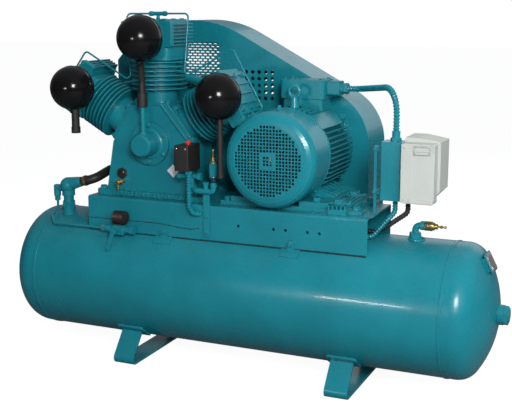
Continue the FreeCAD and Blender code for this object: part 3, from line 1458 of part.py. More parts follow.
# --------------------------------------------------------------------- motor
def motor_housing():
    """Finned stator housing with mounting pads for feet and box."""
    y0 = COVER_Y1 + 2
    length = BODY_Y1 - y0
    tube = cyl((MOTOR_X, y0, MOTOR_Z), (0, 1, 0), BODY_R, length)
    parts = [tube]
    for k in range(12):
        h = (k - 5.5) * 17.0
        reach = math.sqrt(BODY_FIN_R ** 2 - h ** 2)
        parts.append(box(MOTOR_X - reach, MOTOR_X + reach, FIN_Y0, BODY_Y1 - 6,
                         MOTOR_Z + h - 2, MOTOR_Z + h + 2))
    for k in range(9):
        x = MOTOR_X + (k - 4) * 17.0
        reach = math.sqrt(BODY_FIN_R ** 2 - (x - MOTOR_X) ** 2)
        parts.append(box(x - 2, x + 2, FIN_Y0, BODY_Y1 - 6, MOTOR_Z - reach, MOTOR_Z + reach))
    parts.append(cyl((MOTOR_X, y0, MOTOR_Z), (0, 1, 0), COLLAR_R, FIN_Y0 - y0 + 2))
    parts.append(cyl((MOTOR_X, BODY_Y1 - 14, MOTOR_Z), (0, 1, 0), 142, 14))
    for side in (-1, 1):
        near = (MOTOR_X + side * 70, MOTOR_Z + 70)
        wedge = prism_y([near, (near[0] + side * 18, MOTOR_Z + 160), (near[0] + side * 90, MOTOR_Z + 104)],
                        y0 + 4, PAD_Y1)
        parts.append(wedge.common(cyl((MOTOR_X, y0, MOTOR_Z), (0, 1, 0), BODY_FIN_R + 2, length)))
    shape = fuse(parts)
    tools = [cyl((MOTOR_X, y0 - 1, MOTOR_Z), (0, 1, 0), 116, length + 2)]
    tools.append(box(MOTOR_X - 82, MOTOR_X + 82, BOX_Y0, BOX_Y1, MOTOR_Z + 140, MOTOR_Z + 200))
    tools.append(cyl((MOTOR_X, EYE_Y, MOTOR_Z + 134), (0, 0, 1), 24, 40))
    for side in (-1, 1):
        x0, x1 = sorted((MOTOR_X + side * 70, MOTOR_X + side * 190))
        tools.append(box(x0, x1, FOOT_Y0 - 1, FOOT_Y1 + 1, MOTOR_Z - 200, MOTOR_Z - 104))
    return cut(shape, tools)


FIN_Y0 = 12.0
COLLAR_R = 150.0
PAD_Y1 = 190.0
EYE_Y = 55.0
FOOT_Y0 = 14.0
FOOT_Y1 = 200.0
FOOT_PAD_Y0 = -88.0


def motor_collar():
    """Space taken by the plain collar at the fan end of the housing."""
    return cyl((MOTOR_X, COVER_Y1, MOTOR_Z), (0, 1, 0), COLLAR_R + 0.1, FIN_Y0 + 2.1 - COVER_Y1)


def motor_feet():
    """Cast feet with gusset ribs, one per side."""
    out = []
    for side in (-1, 1):
        x0, x1 = sorted((MOTOR_X + side * 74, MOTOR_X + side * 176))
        pad = box(x0, x1, FOOT_PAD_Y0, FOOT_Y1, RAIL_TOP, RAIL_TOP + FOOT_PAD_T)
        ribs = []
        for k in range(6):
            y = FOOT_Y0 + 4 + 33 * k
            outer = MOTOR_X + side * 160
            inner = MOTOR_X + side * 74
            pts = [(inner, RAIL_TOP + 10), (outer, RAIL_TOP + 10), (outer, RAIL_TOP + 22), (inner, MOTOR_Z - 106)]
            ribs.append(prism_y(pts, y, y + 10))
        foot = fuse([pad] + ribs)
        tools = [cyl((MOTOR_X, -40, MOTOR_Z), (0, 1, 0), 142.1, 300), motor_collar()]
        for x, y in motor_bolt_spots():
            tools.append(cyl((x, y, RAIL_TOP - 1), (0, 0, 1), 7.2, 60))
            tools.append(cyl((x, y, RAIL_TOP + FOOT_PAD_T), (0, 0, 1), 17, 60))
        out.append(cut(foot, tools))
    return Part.makeCompound(out)




def slide_rails():
    """Ribbed belt-tension rails under the motor, with adjusting blocks."""
    out = []
    for y in RAIL_Y:
        bar = box(MOTOR_X - 215, MOTOR_X + 295, y - 30, y + 30, BASE_TOP, RAIL_TOP)
        block = box(MOTOR_X + 196, MOTOR_X + 222, y - 16, y + 16, BASE_TOP, RAIL_TOP + 30)
        screw = cyl((MOTOR_X + 177, y, RAIL_TOP + 14), (1, 0, 0), 6, 70)
        head = hexagon((MOTOR_X + 240, y, RAIL_TOP + 14), (1, 0, 0), 18, 8)
        out += [bar, block, screw, head]
    x0 = MOTOR_X + 184
    tie = box(x0, x0 + 62, -112, 130, BASE_TOP, RAIL_TOP + 4)
    ridges = [box(x0 + 14 * k, x0 + 14 * k + 5, -112, 130, RAIL_TOP, RAIL_TOP + 16) for k in range(5)]
    rail = fuse(out + [tie] + ridges)
    tools = []
    for x, y in rail_bolt_spots():
        tools.append(cyl((x, y, BASE_TOP - 1), (0, 0, 1), 7.2, 40))
        tools.append(cyl((x, y, RAIL_TOP), (0, 0, 1), 16, 40))
    for x, y in motor_bolt_spots():
        tools.append(cyl((x, y, BASE_TOP - 1), (0, 0, 1), 7.2, 40))
    return cut(rail, tools)


def stator():
    """Laminated stator core with end windings."""
    core = ring((MOTOR_X, 10, MOTOR_Z), (0, 1, 0), 115.8, 78, 170)
    slots = []
    for k in range(24):
        a = 2 * math.pi * k / 24
        tooth = box(MOTOR_X - 4, MOTOR_X + 4, 9, 181, MOTOR_Z + 77, MOTOR_Z + 92)
        tooth.rotate(V(MOTOR_X, 0, MOTOR_Z), V(0, 1, 0), math.degrees(a))
        slots.append(tooth)
    core = cut(core, slots)
    ends = [ring((MOTOR_X, y, MOTOR_Z), (0, 1, 0), 108, 94, 24) for y in (-14, 180)]
    return fuse([core] + ends)


def rotor():
    """Squirrel-cage rotor pack."""
    pack = ring((MOTOR_X, 12, MOTOR_Z), (0, 1, 0), 77.4, SHAFT_R + 4.02, 166)
    rings = [ring((MOTOR_X, y, MOTOR_Z), (0, 1, 0), 74, 50, 10) for y in (2, 178)]
    vanes = []
    for k in range(8):
        vane = box(MOTOR_X + 52, MOTOR_X + 72, 186, 200, MOTOR_Z - 2, MOTOR_Z + 2)
        vane.rotate(V(MOTOR_X, 0, MOTOR_Z), V(0, 1, 0), 45 * k)
        vanes.append(vane)
    return fuse([pack] + rings + vanes)


def motor_shaft():
    """Stepped motor shaft."""
    parts = [
        cyl((MOTOR_X, -150, MOTOR_Z), (0, 1, 0), 16, 150),
        cyl((MOTOR_X, -10, MOTOR_Z), (0, 1, 0), SHAFT_R + 4, 214),
        cyl((MOTOR_X, 200, MOTOR_Z), (0, 1, 0), SHAFT_R, PULLEY_Y1 - 200),
    ]
    return fuse(parts)


def motor_shields():
    """End shields that carry the two motor bearings."""
    y0 = COVER_Y1 + 2
    front = revolve_y([(y0 - 10, 118), (y0 - 10, 30), (y0 + 14, 30), (y0 + 14, 60), (y0 - 0.05, 110),
                       (y0 - 0.05, 118)], MOTOR_X, MOTOR_Z)
    y1 = BODY_Y1
    rear = revolve_y([(y1 + 0.05, 146), (y1 + 12, 146), (y1 + 14, 62), (y1 + 30, 58), (y1 + 30, 30),
                      (y1 - 12, 30), (y1 - 12, 60), (y1 + 0.05, 110)], MOTOR_X, MOTOR_Z)
    lugs = []
    for k in range(4):
        a = math.radians(45 + 90 * k)
        p = (MOTOR_X + 152 * math.cos(a), y1 + 0.05, MOTOR_Z + 152 * math.sin(a))
        lugs.append(cyl(p, (0, 1, 0), 13, 10))
    return Part.makeCompound([front, fuse([rear] + lugs)])


def motor_bearings():
    """Bearing ring sets at both ends of the motor shaft."""
    out = []
    for y, r in ((COVER_Y1 - 6, 16.0), (BODY_Y1 - 8, SHAFT_R)):
        out.append(ring((MOTOR_X, y, MOTOR_Z), (0, 1, 0), 29.9, r + RUN, 16))
    return Part.makeCompound(out)


def shield_bolts():
    """Bolts through the drive-end shield lugs."""
    out = []
    for k in range(4):
        a = math.radians(45 + 90 * k)
        p = (MOTOR_X + 152 * math.cos(a), BODY_Y1 - 0.05, MOTOR_Z + 152 * math.sin(a))
        out.append(hexagon((p[0], p[1] - 9, p[2]), (0, 1, 0), 15, 9))
    return Part.makeCompound(out)


def cooling_fan():
    """Radial cooling fan behind the grille."""
    hub = ring((MOTOR_X, -150, MOTOR_Z), (0, 1, 0), 30, 16.02, 46)
    disc = ring((MOTOR_X, -108, MOTOR_Z), (0, 1, 0), 140, 16.02, 4)
    blades = []
    for k in range(9):
        blade = box(MOTOR_X + 34, MOTOR_X + 138, -150, -106, MOTOR_Z - 2, MOTOR_Z + 2)
        blade.rotate(V(MOTOR_X, 0, MOTOR_Z), V(0, 1, 0), 40 * k)
        blades.append(blade)
    web = ring((MOTOR_X, -112, MOTOR_Z), (0, 1, 0), 60, 16.02, 6)
    return fuse([hub, disc, web] + blades)


def fan_cover():
    """Pressed fan cover with a square-hole grille."""
    y0 = COVER_Y0
    outer = [(y0, 0), (y0, 122), (y0 + 3, 138), (y0 + 10, 150), (y0 + 22, 157), (y0 + 34, COVER_R),
             (COVER_Y1, COVER_R), (COVER_Y1, 0)]
    inner = [(y0 + 2.5, 0), (y0 + 2.5, 121), (y0 + 5.5, 136), (y0 + 12, 147), (y0 + 23, 154.5),
             (y0 + 35, COVER_R - 2.5), (COVER_Y1 + 1, COVER_R - 2.5), (COVER_Y1 + 1, 0)]
    shell = revolve_y(outer, MOTOR_X, MOTOR_Z).cut(revolve_y(inner, MOTOR_X, MOTOR_Z))
    holes = []
    for i in range(-10, 11):
        for j in range(-10, 11):
            u = i * GRILLE_PITCH
            v = j * GRILLE_PITCH
            inside = math.hypot(u, v) < GRILLE_R
            frame = max(abs(i), abs(j)) == 2
            if inside and not frame:
                holes.append(box(MOTOR_X + u - GRILLE_HALF, MOTOR_X + u + GRILLE_HALF, y0 - 1, y0 + 4,
                                 MOTOR_Z + v - GRILLE_HALF, MOTOR_Z + v + GRILLE_HALF))
    return cut(shell, holes)


GRILLE_PITCH = 11.2
GRILLE_HALF = 3.8
GRILLE_R = 115.0


BOX_Y0 = 118.0
BOX_Y1 = 222.0
BOX_X0 = 70.0
BOX_X1 = 234.0
BOX_Z0 = 920.0
BOX_SPLIT = 946.0
BOX_TOP = 1012.0


def terminal_box():
    """Terminal box base on the motor housing."""
    base = rounded_box(BOX_X0 + 8, BOX_X1 - 8, BOX_Y0 + 6, BOX_Y1 - 6, MOTOR_Z + 110, BOX_SPLIT, 10, (0, 0, 1))
    base = base.cut(motor_housing())
    hollow = box(BOX_X0 + 14, BOX_X1 - 14, BOX_Y0 + 12, BOX_Y1 - 12, BOX_Z0 + 16, BOX_SPLIT + 1)
    clear = cyl((MOTOR_X, -60, MOTOR_Z), (0, 1, 0), 142.2, 400)
    solids = sorted(base.cut(clear).cut(hollow).Solids, key=lambda s: s.Volume)
    return solids[-1]


def terminal_lid():
    """Deep terminal box lid with corner screws and cable entry."""
    lid = rounded_box(BOX_X0, BOX_X1, BOX_Y0, BOX_Y1, BOX_SPLIT + 0.05, BOX_TOP, 12, (0, 0, 1))
    hollow = box(BOX_X0 + 5, BOX_X1 - 5, BOX_Y0 + 5, BOX_Y1 - 5, BOX_SPLIT - 1, BOX_TOP - 5)
    screws = []
    for x in (BOX_X0 + 14, BOX_X1 - 14):
        for y in (BOX_Y0 + 14, BOX_Y1 - 14):
            screws.append(cyl((x, y, BOX_TOP - 1), (0, 0, 1), 6, 6))
    return fuse([lid.cut(hollow)] + screws)


GLAND_Y = 171.0
GLAND_Z = 982.0


def gland_block():
    """Cable gland block on the terminal box side."""
    x0 = BOX_X1 + 0.05
    block = rounded_box(x0, x0 + 46, GLAND_Y - 26, GLAND_Y + 26, GLAND_Z - 24, GLAND_Z + 26, 8, (1, 0, 0))
    neck = cyl((x0 + 40, GLAND_Y, GLAND_Z), (1, 0, 0), 16, 20)
    nut = hexagon((x0 + 58, GLAND_Y, GLAND_Z), (1, 0, 0), 34, 14)
    return fuse([block, neck, nut]).cut(cyl((x0 + 66, GLAND_Y, GLAND_Z), (1, 0, 0), 9.6, 20))


def lifting_eye():
    """Lifting eye bolt on the motor housing."""
    z0 = MOTOR_Z + 134
    z1 = MOTOR_Z + 188
    base = cone((MOTOR_X, EYE_Y, z0), (0, 0, 1), 20, 11, z1 - z0)
    loop = Part.makeTorus(19, 6, V(MOTOR_X, EYE_Y, z1 + 20), V(0, 1, 0))
    return fuse([base, loop]).cut(motor_housing())


# ------------------------------------------------------- controls and cables
PLATE_Y = -96.0
POST_X0 = 448.0
PLATE_X0 = 506.0
PLATE_X1 = 576.0
CTRL_X1 = 682.0
CTRL_Z0 = 652.0
CTRL_Z1 = 841.0
CTRL_REAR = PLATE_Y + 142
POST_BOLTS = (676.0, 815.0)


def control_bracket():
    """Sheet bracket: foot, post and folded plate for the control box."""
    foot = box(POST_X0, BASE_X1 + 10, PLATE_Y - 24, PLATE_Y + 50, BASE_TOP + 0.05, BASE_TOP + 4)
    y = PLATE_Y + 20
    parts = [box(BASE_X1, BASE_X1 + 10, y, y + 7, BASE_TOP, POST_BOLTS[1] + 10)]
    for z in POST_BOLTS:
        parts.append(box(BASE_X1 - 2, PLATE_X0 + 4, y + 3, y + 7, z - 9, z + 9))
        parts.append(bolt((BASE_X1 + 5, y, z), (0, -1, 0), 8, 2))
    web = box(PLATE_X0, PLATE_X0 + 4, PLATE_Y, PLATE_Y + 28, CTRL_Z0, CTRL_Z1)
    plate = box(PLATE_X0, PLATE_X1, PLATE_Y, PLATE_Y + 4, CTRL_Z0, CTRL_Z1)
    back = box(PLATE_X1 - 4, PLATE_X1, PLATE_Y, PLATE_Y + 96, CTRL_Z0, CTRL_Z1)
    roof = box(PLATE_X0, PLATE_X1, PLATE_Y, PLATE_Y + 60, CTRL_Z1 - 4, CTRL_Z1)
    shape = fuse(parts + [foot, web, plate, back, roof])
    tools = [bolt_hole((x, y, BASE_TOP + 4), (0, 0, 1), 6, 16) for x, y in BRACKET_BOLTS]
    tools.append(cyl((GLAND2_X, GLAND2_Y, CTRL_Z1 - 10), (0, 0, 1), 10, 20))
    return cut(shape, tools)


GLAND2_X = 544.0
GLAND2_Y = -62.0


def control_box():
    """Moulded control box body with chamfered lower corner."""
    x0 = PLATE_X1 + 0.05
    pts = [(x0, CTRL_Z0 - 4), (CTRL_X1 - 30, CTRL_Z0 - 4), (CTRL_X1 + 8, CTRL_Z0 + 34),
           (CTRL_X1 + 8, CTRL_Z1 + 2), (CTRL_X1 - 60, CTRL_Z1 + 14), (x0, CTRL_Z1 + 14)]
    body = prism_y(pts, PLATE_Y + 28, CTRL_REAR)
    hollow = box(x0 + 4, CTRL_X1 - 34, PLATE_Y + 20, CTRL_REAR - 6, CTRL_Z0 + 2, CTRL_Z1 - 4)
    return body.cut(hollow)


def control_cover():
    """Front cover with a recessed door panel and lower ledge."""
    x0 = PLATE_X1 + 0.05
    y0 = PLATE_Y - 20
    y1 = PLATE_Y + 27.95
    front = rounded_box(x0, CTRL_X1, y0, y1, CTRL_Z0, CTRL_Z1, 5, (0, 1, 0))
    panel = box(x0 + 32, CTRL_X1 + 1, y0 - 1, y0 + 2.5, CTRL_Z0 + 16, CTRL_Z1 - 24)
    label = box(x0 + 32, CTRL_X1 - 4, y0 - 1, y0 + 2, CTRL_Z1 - 20, CTRL_Z1 - 4)
    ledge = box(x0 + 30, CTRL_X1 - 2, y0 - 4, y0 + 1, CTRL_Z0 + 2, CTRL_Z0 + 13)
    hollow = box(x0 + 5, CTRL_X1 - 5, y0 + 6, y1 + 1, CTRL_Z0 + 5, CTRL_Z1 - 5)
    return cut(front, [panel, label, hollow]).fuse(ledge).removeSplitter()


def motor_conduit():
    """Ribbed conduit from the terminal box to the control bracket."""
    x0 = BOX_X1 + 66.2
    pts = [(x0, GLAND_Y, GLAND_Z), (x0 + 44, GLAND_Y, GLAND_Z), (450, 48, 1016),
           (GLAND2_X, GLAND2_Y, 1004), (GLAND2_X, GLAND2_Y, CTRL_Z1 + 20)]
    return pipe(pts, 9.5, 52)


def conduit_gland():
    """Gland where the conduit enters the control bracket."""
    z = CTRL_Z1 + 0.05
    lower = hexagon((GLAND2_X, GLAND2_Y, z), (0, 0, 1), 32, 10)
    upper = cyl((GLAND2_X, GLAND2_Y, z + 10), (0, 0, 1), 13, 22)
    stem = cyl((GLAND2_X, GLAND2_Y, z - 16), (0, 0, 1), 9.9, 16)
    return fuse([lower, upper, stem]).cut(cyl((GLAND2_X, GLAND2_Y, z + 19), (0, 0, 1), 9.6, 20))


def lower_conduits():
    """Two flexible conduits from the controls into the open base end."""
    z = CTRL_Z0 - 0.05
    near = pipe([(545, PLATE_Y + 40, z + 60), (545, PLATE_Y + 40, 610), (470, -60, 520), (420, -60, 520)],
                8, 26)
    far = pipe([(582, PLATE_Y + 60, z - 4.1), (582, PLATE_Y + 60, 606), (480, -20, 530), (420, -20, 530)],
               8, 26)
    return Part.makeCompound([near, far])


# ---------------------------------------------------------------------- export
def group(*shapes):
    """Several solids kept apart under one node."""
    return Part.makeCompound([solid for shape in shapes for solid in shape.Solids])


def banks(build):
    """The same casting on all three banks."""
    return group(*[bank(build(), side) for side in (-1, 0, 1)])


PARTS = {
    "tank_shell": tank_shell,
    "tank_ends": lambda: group(tank_end_left(), tank_end_right()),
    "tank_sockets": lambda: group(tank_sockets(), safety_elbow()),
    "tank_plugs": lambda: group(end_plug(), drain_plug()),
    "nameplate": lambda: group(nameplate_bracket(), data_plate()),
    "feet": lambda: group(feet(), foot_pads()),
    "base_frame": base_frame,
    "support_brackets": lambda: group(base_lugs(), support_strap(), guard_arms()),
    "frame_bolts": lambda: group(base_bolts(), strap_bolts(), guard_bolts()),
    "crankcase": crankcase,
    "bearing_covers": lambda: group(front_cover(), rear_cover()),
    "bearings": lambda: group(main_bearings(), motor_bearings()),
    "crankshaft": crankshaft,
    "connecting_rods": lambda: group(connecting_rods(), gudgeon_pins()),
    "pistons": pistons,
    "piston_rings": piston_rings,
    "cylinders": lambda: banks(cylinder),
    "valve_plates": lambda: banks(valve_plate),
    "cylinder_heads": lambda: group(head_on(-1), head_on(0), head_on(1)),
    "pump_bolts": lambda: group(cover_bolts(), cylinder_bolts(), head_bolts(), crank_nut()),
    "brass_fittings": lambda: group(sight_glass(), oil_drain(), hose_clamp()),
    "breather_pipe": breather_pipe,
    "intake_hoses": lambda: group(breather_hose(), intake_snouts()),
    "air_filters": lambda: group(air_filter(-1), air_filter(0), air_filter(1)),
    "intake_pipes": intake_pipes,
    "unloader_tee": unloader_tee,
    "unloader_tubes": unloader_tubes,
    "delivery_pipes": delivery_pipes,
    "delivery_hose": delivery_hose,
    "check_valve": check_valve,
    "pilot_line": pilot_line,
    "ball_valve_body": ball_valve_body,
    "valve_coil": valve_coil,
    "ball_valve_lever": ball_valve_lever,
    "pressure_switch": pressure_switch,
    "switch_knob": switch_knob,
    "switch_pipework": lambda: group(manifold(), riser_pipework(), relief_nipple()),
    "relief_bodies": relief_bodies,
    "relief_stem_front": lambda: relief_stem(*RELIEF_FRONT),
    "relief_stem_tank": lambda: relief_stem(*RELIEF_TANK),
    "flywheel": flywheel,
    "v_belts": v_belts,
    "motor_pulley": motor_pulley,
    "belt_guard_body": belt_guard_body,
    "belt_guard_cover": belt_guard_cover,
    "motor_housing": motor_housing,
    "stator": stator,
    "rotor": rotor,
    "motor_shaft": motor_shaft,
    "motor_shields": lambda: group(motor_shields(), shield_bolts()),
    "cooling_fan": cooling_fan,
    "fan_cover": fan_cover,
    "terminal_box": lambda: group(terminal_box(), terminal_lid()),
    "motor_feet": lambda: group(motor_feet(), lifting_eye()),
    "slide_rails": slide_rails,
    "conduits": lambda: group(motor_conduit(), lower_conduits(), switch_conduit()),
    "cable_glands": lambda: group(gland_block(), conduit_gland()),
    "control_bracket": control_bracket,
    "control_box": control_box,
    "control_cover": control_cover,
}


def main():
    """Build and export every sub-part."""
    os.makedirs("parts", exist_ok=True)
    for name, build in PARTS.items():
        build().exportStep("parts/%s.step" % name)


main()
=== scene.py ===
"""Looks of the belt-driven piston compressor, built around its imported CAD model.

Metres, +Z up, +X along the receiver, +Y towards the belt side.
"""

import json
import math

import bmesh
import bpy
from mathutils import Matrix, Vector


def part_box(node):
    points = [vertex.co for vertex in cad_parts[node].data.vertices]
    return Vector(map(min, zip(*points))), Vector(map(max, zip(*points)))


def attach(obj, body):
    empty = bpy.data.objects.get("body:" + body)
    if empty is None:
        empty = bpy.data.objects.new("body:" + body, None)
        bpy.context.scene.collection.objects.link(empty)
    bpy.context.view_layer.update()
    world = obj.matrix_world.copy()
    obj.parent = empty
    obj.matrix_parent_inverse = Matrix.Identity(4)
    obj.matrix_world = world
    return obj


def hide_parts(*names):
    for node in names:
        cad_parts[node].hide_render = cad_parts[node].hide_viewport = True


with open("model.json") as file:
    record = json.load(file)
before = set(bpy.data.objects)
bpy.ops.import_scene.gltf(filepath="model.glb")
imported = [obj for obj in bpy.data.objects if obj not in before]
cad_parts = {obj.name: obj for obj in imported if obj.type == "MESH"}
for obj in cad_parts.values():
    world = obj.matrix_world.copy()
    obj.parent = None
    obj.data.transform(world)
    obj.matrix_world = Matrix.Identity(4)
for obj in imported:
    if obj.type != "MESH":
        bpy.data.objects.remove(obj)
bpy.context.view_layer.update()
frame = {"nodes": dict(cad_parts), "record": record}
NODES = frame["nodes"]
JOINT_SPOTS = {joint["name"]: Vector(joint["pos_m"]) for joint in frame["record"]["behaviour"]["joints"]}

UP = (0, 0, 1)
DOWN = (0, 0, -1)
FORWARD = (0, -1, 0)

# paint colours: face, deep patches, thin paint on edges, dust that lies on top
TEAL = (0.0070, 0.178, 0.222)
TEAL_DEEP = (0.0050, 0.146, 0.186)
TEAL_EDGE = (0.030, 0.290, 0.335)
DUST = (0.10, 0.20, 0.22)
# dot product of the rounded and the true normal: all edge at the first, no edge at the second
EDGE_DOT = (0.86, 0.985)

# mesh detail
SHARP_ANGLE = math.radians(35)
HOOP_SECTION = 8
TUBE_SIDES = 20
BEND_STEPS = 8
RIB_STEPS = 6

# ribbed tubes: radius, radius of the bends, distance and depth of the ribs
MOTOR_RIBS = {"radius": 0.0106, "bend": 0.078, "pitch": 0.0105, "depth": 0.0028}
LOWER_RIBS = {"radius": 0.0092, "bend": 0.026, "pitch": 0.0098, "depth": 0.0024}
SWITCH_RIBS = {"radius": 0.0100, "bend": 0.016, "pitch": 0.0096, "depth": 0.0027}
LIP_RIBS = {"radius": 0.0036, "bend": 0.010, "pitch": 0.0130, "depth": 0.0008}

# detail pieces
CASE_FRONT = -0.0751            # y of the flat front of the crankcase
FILTER_RADIUS_MIN = 0.07        # a smaller solid in the filters' node is not a filter
CAP_RINGS = 15                  # rings of the valve cap, every second one a groove
CAP_HALF = 0.024                # half the length of the valve cap
PILOT_RADIUS = 0.0045           # of the pilot line
OVERLAY_STEPS = 12              # points along the falling edge of the base overlay
LUG_TOP = 0.51                  # a bracket solid between these heights is a lug pad
LUG_BOTTOM = 0.47
LABEL_RAIL = 0.0026             # width of the label frame's rails
HOLDER_SCALE = 1.16             # plate holder against the nameplate

# stage
CAMERA_SPOT = (1.3672, -3.0181, 1.2488)
CAMERA_AIM = (0.02935, 0.0, 0.5902)
CAMERA_LENS = 67.7
CAMERA_ROLL = math.radians(-0.19)
FLOOR_HALF = 30.0
FLOOR_Z = -0.0005
FLOOR_GLOW = 0.93
# how much each side of the surround adds: axis, where it starts and ends, strength
SKY_GLOW = (("Z", 0.25, 1.0, 0.22), ("X", 0.35, 1.0, 0.12), ("Y", 0.05, 0.8, 0.24))
SKY_BASE = 0.055
SKY_TINT = (0.90, 0.93, 1.0, 1.0)


# ------------------------------------------------------------------ materials
class Paint:
    """A node material built up step by step."""

    def __init__(self, name):
        self.material = bpy.data.materials.new(name)
        self.material.use_nodes = True
        self.tree = self.material.node_tree
        self.shader = self.tree.nodes["Principled BSDF"]
        self.coords = self.add("ShaderNodeTexCoord").outputs["Object"]
        self.normal = None

    def add(self, kind, **settings):
        node = self.tree.nodes.new(kind)
        for key, value in settings.items():
            setattr(node, key, value)
        return node

    def join(self, source, target):
        self.tree.links.new(source, target)

    def noise(self, scale, detail=3.0, rough=0.55, stretch=None):
        """Noise factor in object space, optionally stretched."""
        node = self.add("ShaderNodeTexNoise")
        node.inputs["Scale"].default_value = scale
        node.inputs["Detail"].default_value = detail
        node.inputs["Roughness"].default_value = rough
        source = self.coords
        if stretch:
            mapping = self.add("ShaderNodeMapping")
            mapping.inputs["Scale"].default_value = stretch
            self.join(source, mapping.inputs["Vector"])
            source = mapping.outputs["Vector"]
        self.join(source, node.inputs["Vector"])
        return node.outputs["Fac"]

    def span(self, source, low, high, to_low=0.0, to_high=1.0):
        """Map a factor from one range to another, clamped."""
        node = self.add("ShaderNodeMapRange")
        node.inputs["From Min"].default_value = low
        node.inputs["From Max"].default_value = high
        node.inputs["To Min"].default_value = to_low
        node.inputs["To Max"].default_value = to_high
        self.join(source, node.inputs["Value"])
        return node.outputs["Result"]

    def blend(self, factor, a, b):
        """Mix two colours or links by a factor."""
        node = self.add("ShaderNodeMix", data_type="RGBA")
        self.join(factor, node.inputs["Factor"])
        for value, socket in ((a, node.inputs[6]), (b, node.inputs[7])):
            if isinstance(value, tuple):
                socket.default_value = (*value, 1.0)
            else:
                self.join(value, socket)
        return node.outputs[2]

    def edges(self, radius):
        """Rounded normal and a mask of the outer edges."""
        bevel = self.add("ShaderNodeBevel", samples=4)
        bevel.inputs["Radius"].default_value = radius
        self.normal = bevel.outputs["Normal"]
        true = self.add("ShaderNodeNewGeometry").outputs["Normal"]
        dot = self.add("ShaderNodeVectorMath", operation="DOT_PRODUCT")
        self.join(self.normal, dot.inputs[0])
        self.join(true, dot.inputs[1])
        return self.span(dot.outputs["Value"], *EDGE_DOT, 1.0, 0.0)

    def bump(self, height, strength, distance):
        """Add a bump layer on top of the normal so far."""
        node = self.add("ShaderNodeBump")
        node.inputs["Strength"].default_value = strength
        node.inputs["Distance"].default_value = distance
        self.join(height, node.inputs["Height"])
        if self.normal is not None:
            self.join(self.normal, node.inputs["Normal"])
        self.normal = node.outputs["Normal"]

    def set(self, **values):
        for key, value in values.items():
            self.shader.inputs[key.replace("_", " ")].default_value = value

    def done(self, colour, roughness):
        self.join(colour, self.shader.inputs["Base Color"])
        self.join(roughness, self.shader.inputs["Roughness"])
        if self.normal is not None:
            self.join(self.normal, self.shader.inputs["Normal"])
            self.join(self.normal, self.shader.inputs["Coat Normal"])
        return self.material


def enamel(name, grain, depth, edge_radius, rough):
    """Sprayed gloss enamel; grain and depth set how rough the metal under it is."""
    p = Paint(name)
    edge = p.edges(edge_radius)
    patches = p.span(p.noise(5.0, 4.0), 0.35, 0.68)
    fine = p.noise(grain, 4.0, 0.6)
    colour = p.blend(patches, TEAL, TEAL_DEEP)
    worn = p.add("ShaderNodeMath", operation="MULTIPLY")
    p.join(edge, worn.inputs[0])
    p.join(p.span(p.noise(38.0, 3.0), 0.42, 0.62, 0.05, 0.75), worn.inputs[1])
    colour = p.blend(worn.outputs[0], colour, TEAL_EDGE)
    up = p.add("ShaderNodeSeparateXYZ")
    p.join(p.add("ShaderNodeNewGeometry").outputs["Normal"], up.inputs[0])
    lying = p.add("ShaderNodeMath", operation="MULTIPLY")
    p.join(p.span(up.outputs["Z"], 0.45, 1.0), lying.inputs[0])
    p.join(p.span(p.noise(16.0, 5.0), 0.40, 0.72, 0.0, 0.16), lying.inputs[1])
    colour = p.blend(lying.outputs[0], colour, DUST)
    p.bump(fine, 0.5, depth)
    p.bump(p.noise(3.2, 1.0), 0.2, depth * 3)
    p.set(Coat_Weight=0.16, Coat_Roughness=0.07, Specular_IOR_Level=0.28)
    return p.done(colour, p.span(p.noise(grain * 0.3), 0.3, 0.7, rough, rough + 0.10))


def plastic(name, colour, shade, grain, rough, coat=0.0, edge_radius=0.0012, shine=0.3):
    """Moulded plastic or rubber with a fine skin."""
    p = Paint(name)
    edge = p.edges(edge_radius)
    tint = p.blend(p.span(p.noise(9.0, 3.0), 0.35, 0.65), colour, shade)
    lift = tuple(min(1.0, c * 1.25 + 0.012) for c in colour)
    half = p.add("ShaderNodeMath", operation="MULTIPLY")
    half.inputs[1].default_value = 0.5
    p.join(edge, half.inputs[0])
    tint = p.blend(half.outputs[0], tint, lift)
    p.bump(p.noise(grain, 2.0), 0.35, 0.00012)
    p.set(Coat_Weight=coat, Coat_Roughness=0.05, Specular_IOR_Level=shine)
    return p.done(tint, p.span(p.noise(22.0), 0.3, 0.7, rough, rough + 0.08))


def metal(name, colour, shade, rough, stretch=None, edge_radius=0.0008, grain=260.0):
    """Bare metal with machining or casting grain."""
    p = Paint(name)
    edge = p.edges(edge_radius)
    tint = p.blend(p.span(p.noise(30.0, 4.0), 0.3, 0.7), colour, shade)
    bright = tuple(min(1.0, c * 1.2 + 0.03) for c in colour)
    tint = p.blend(edge, tint, bright)
    p.bump(p.noise(grain, 2.0, 0.5, stretch), 0.4, 0.0001)
    p.set(Metallic=1.0)
    return p.done(tint, p.span(p.noise(55.0, 3.0), 0.3, 0.7, rough, rough + 0.14))


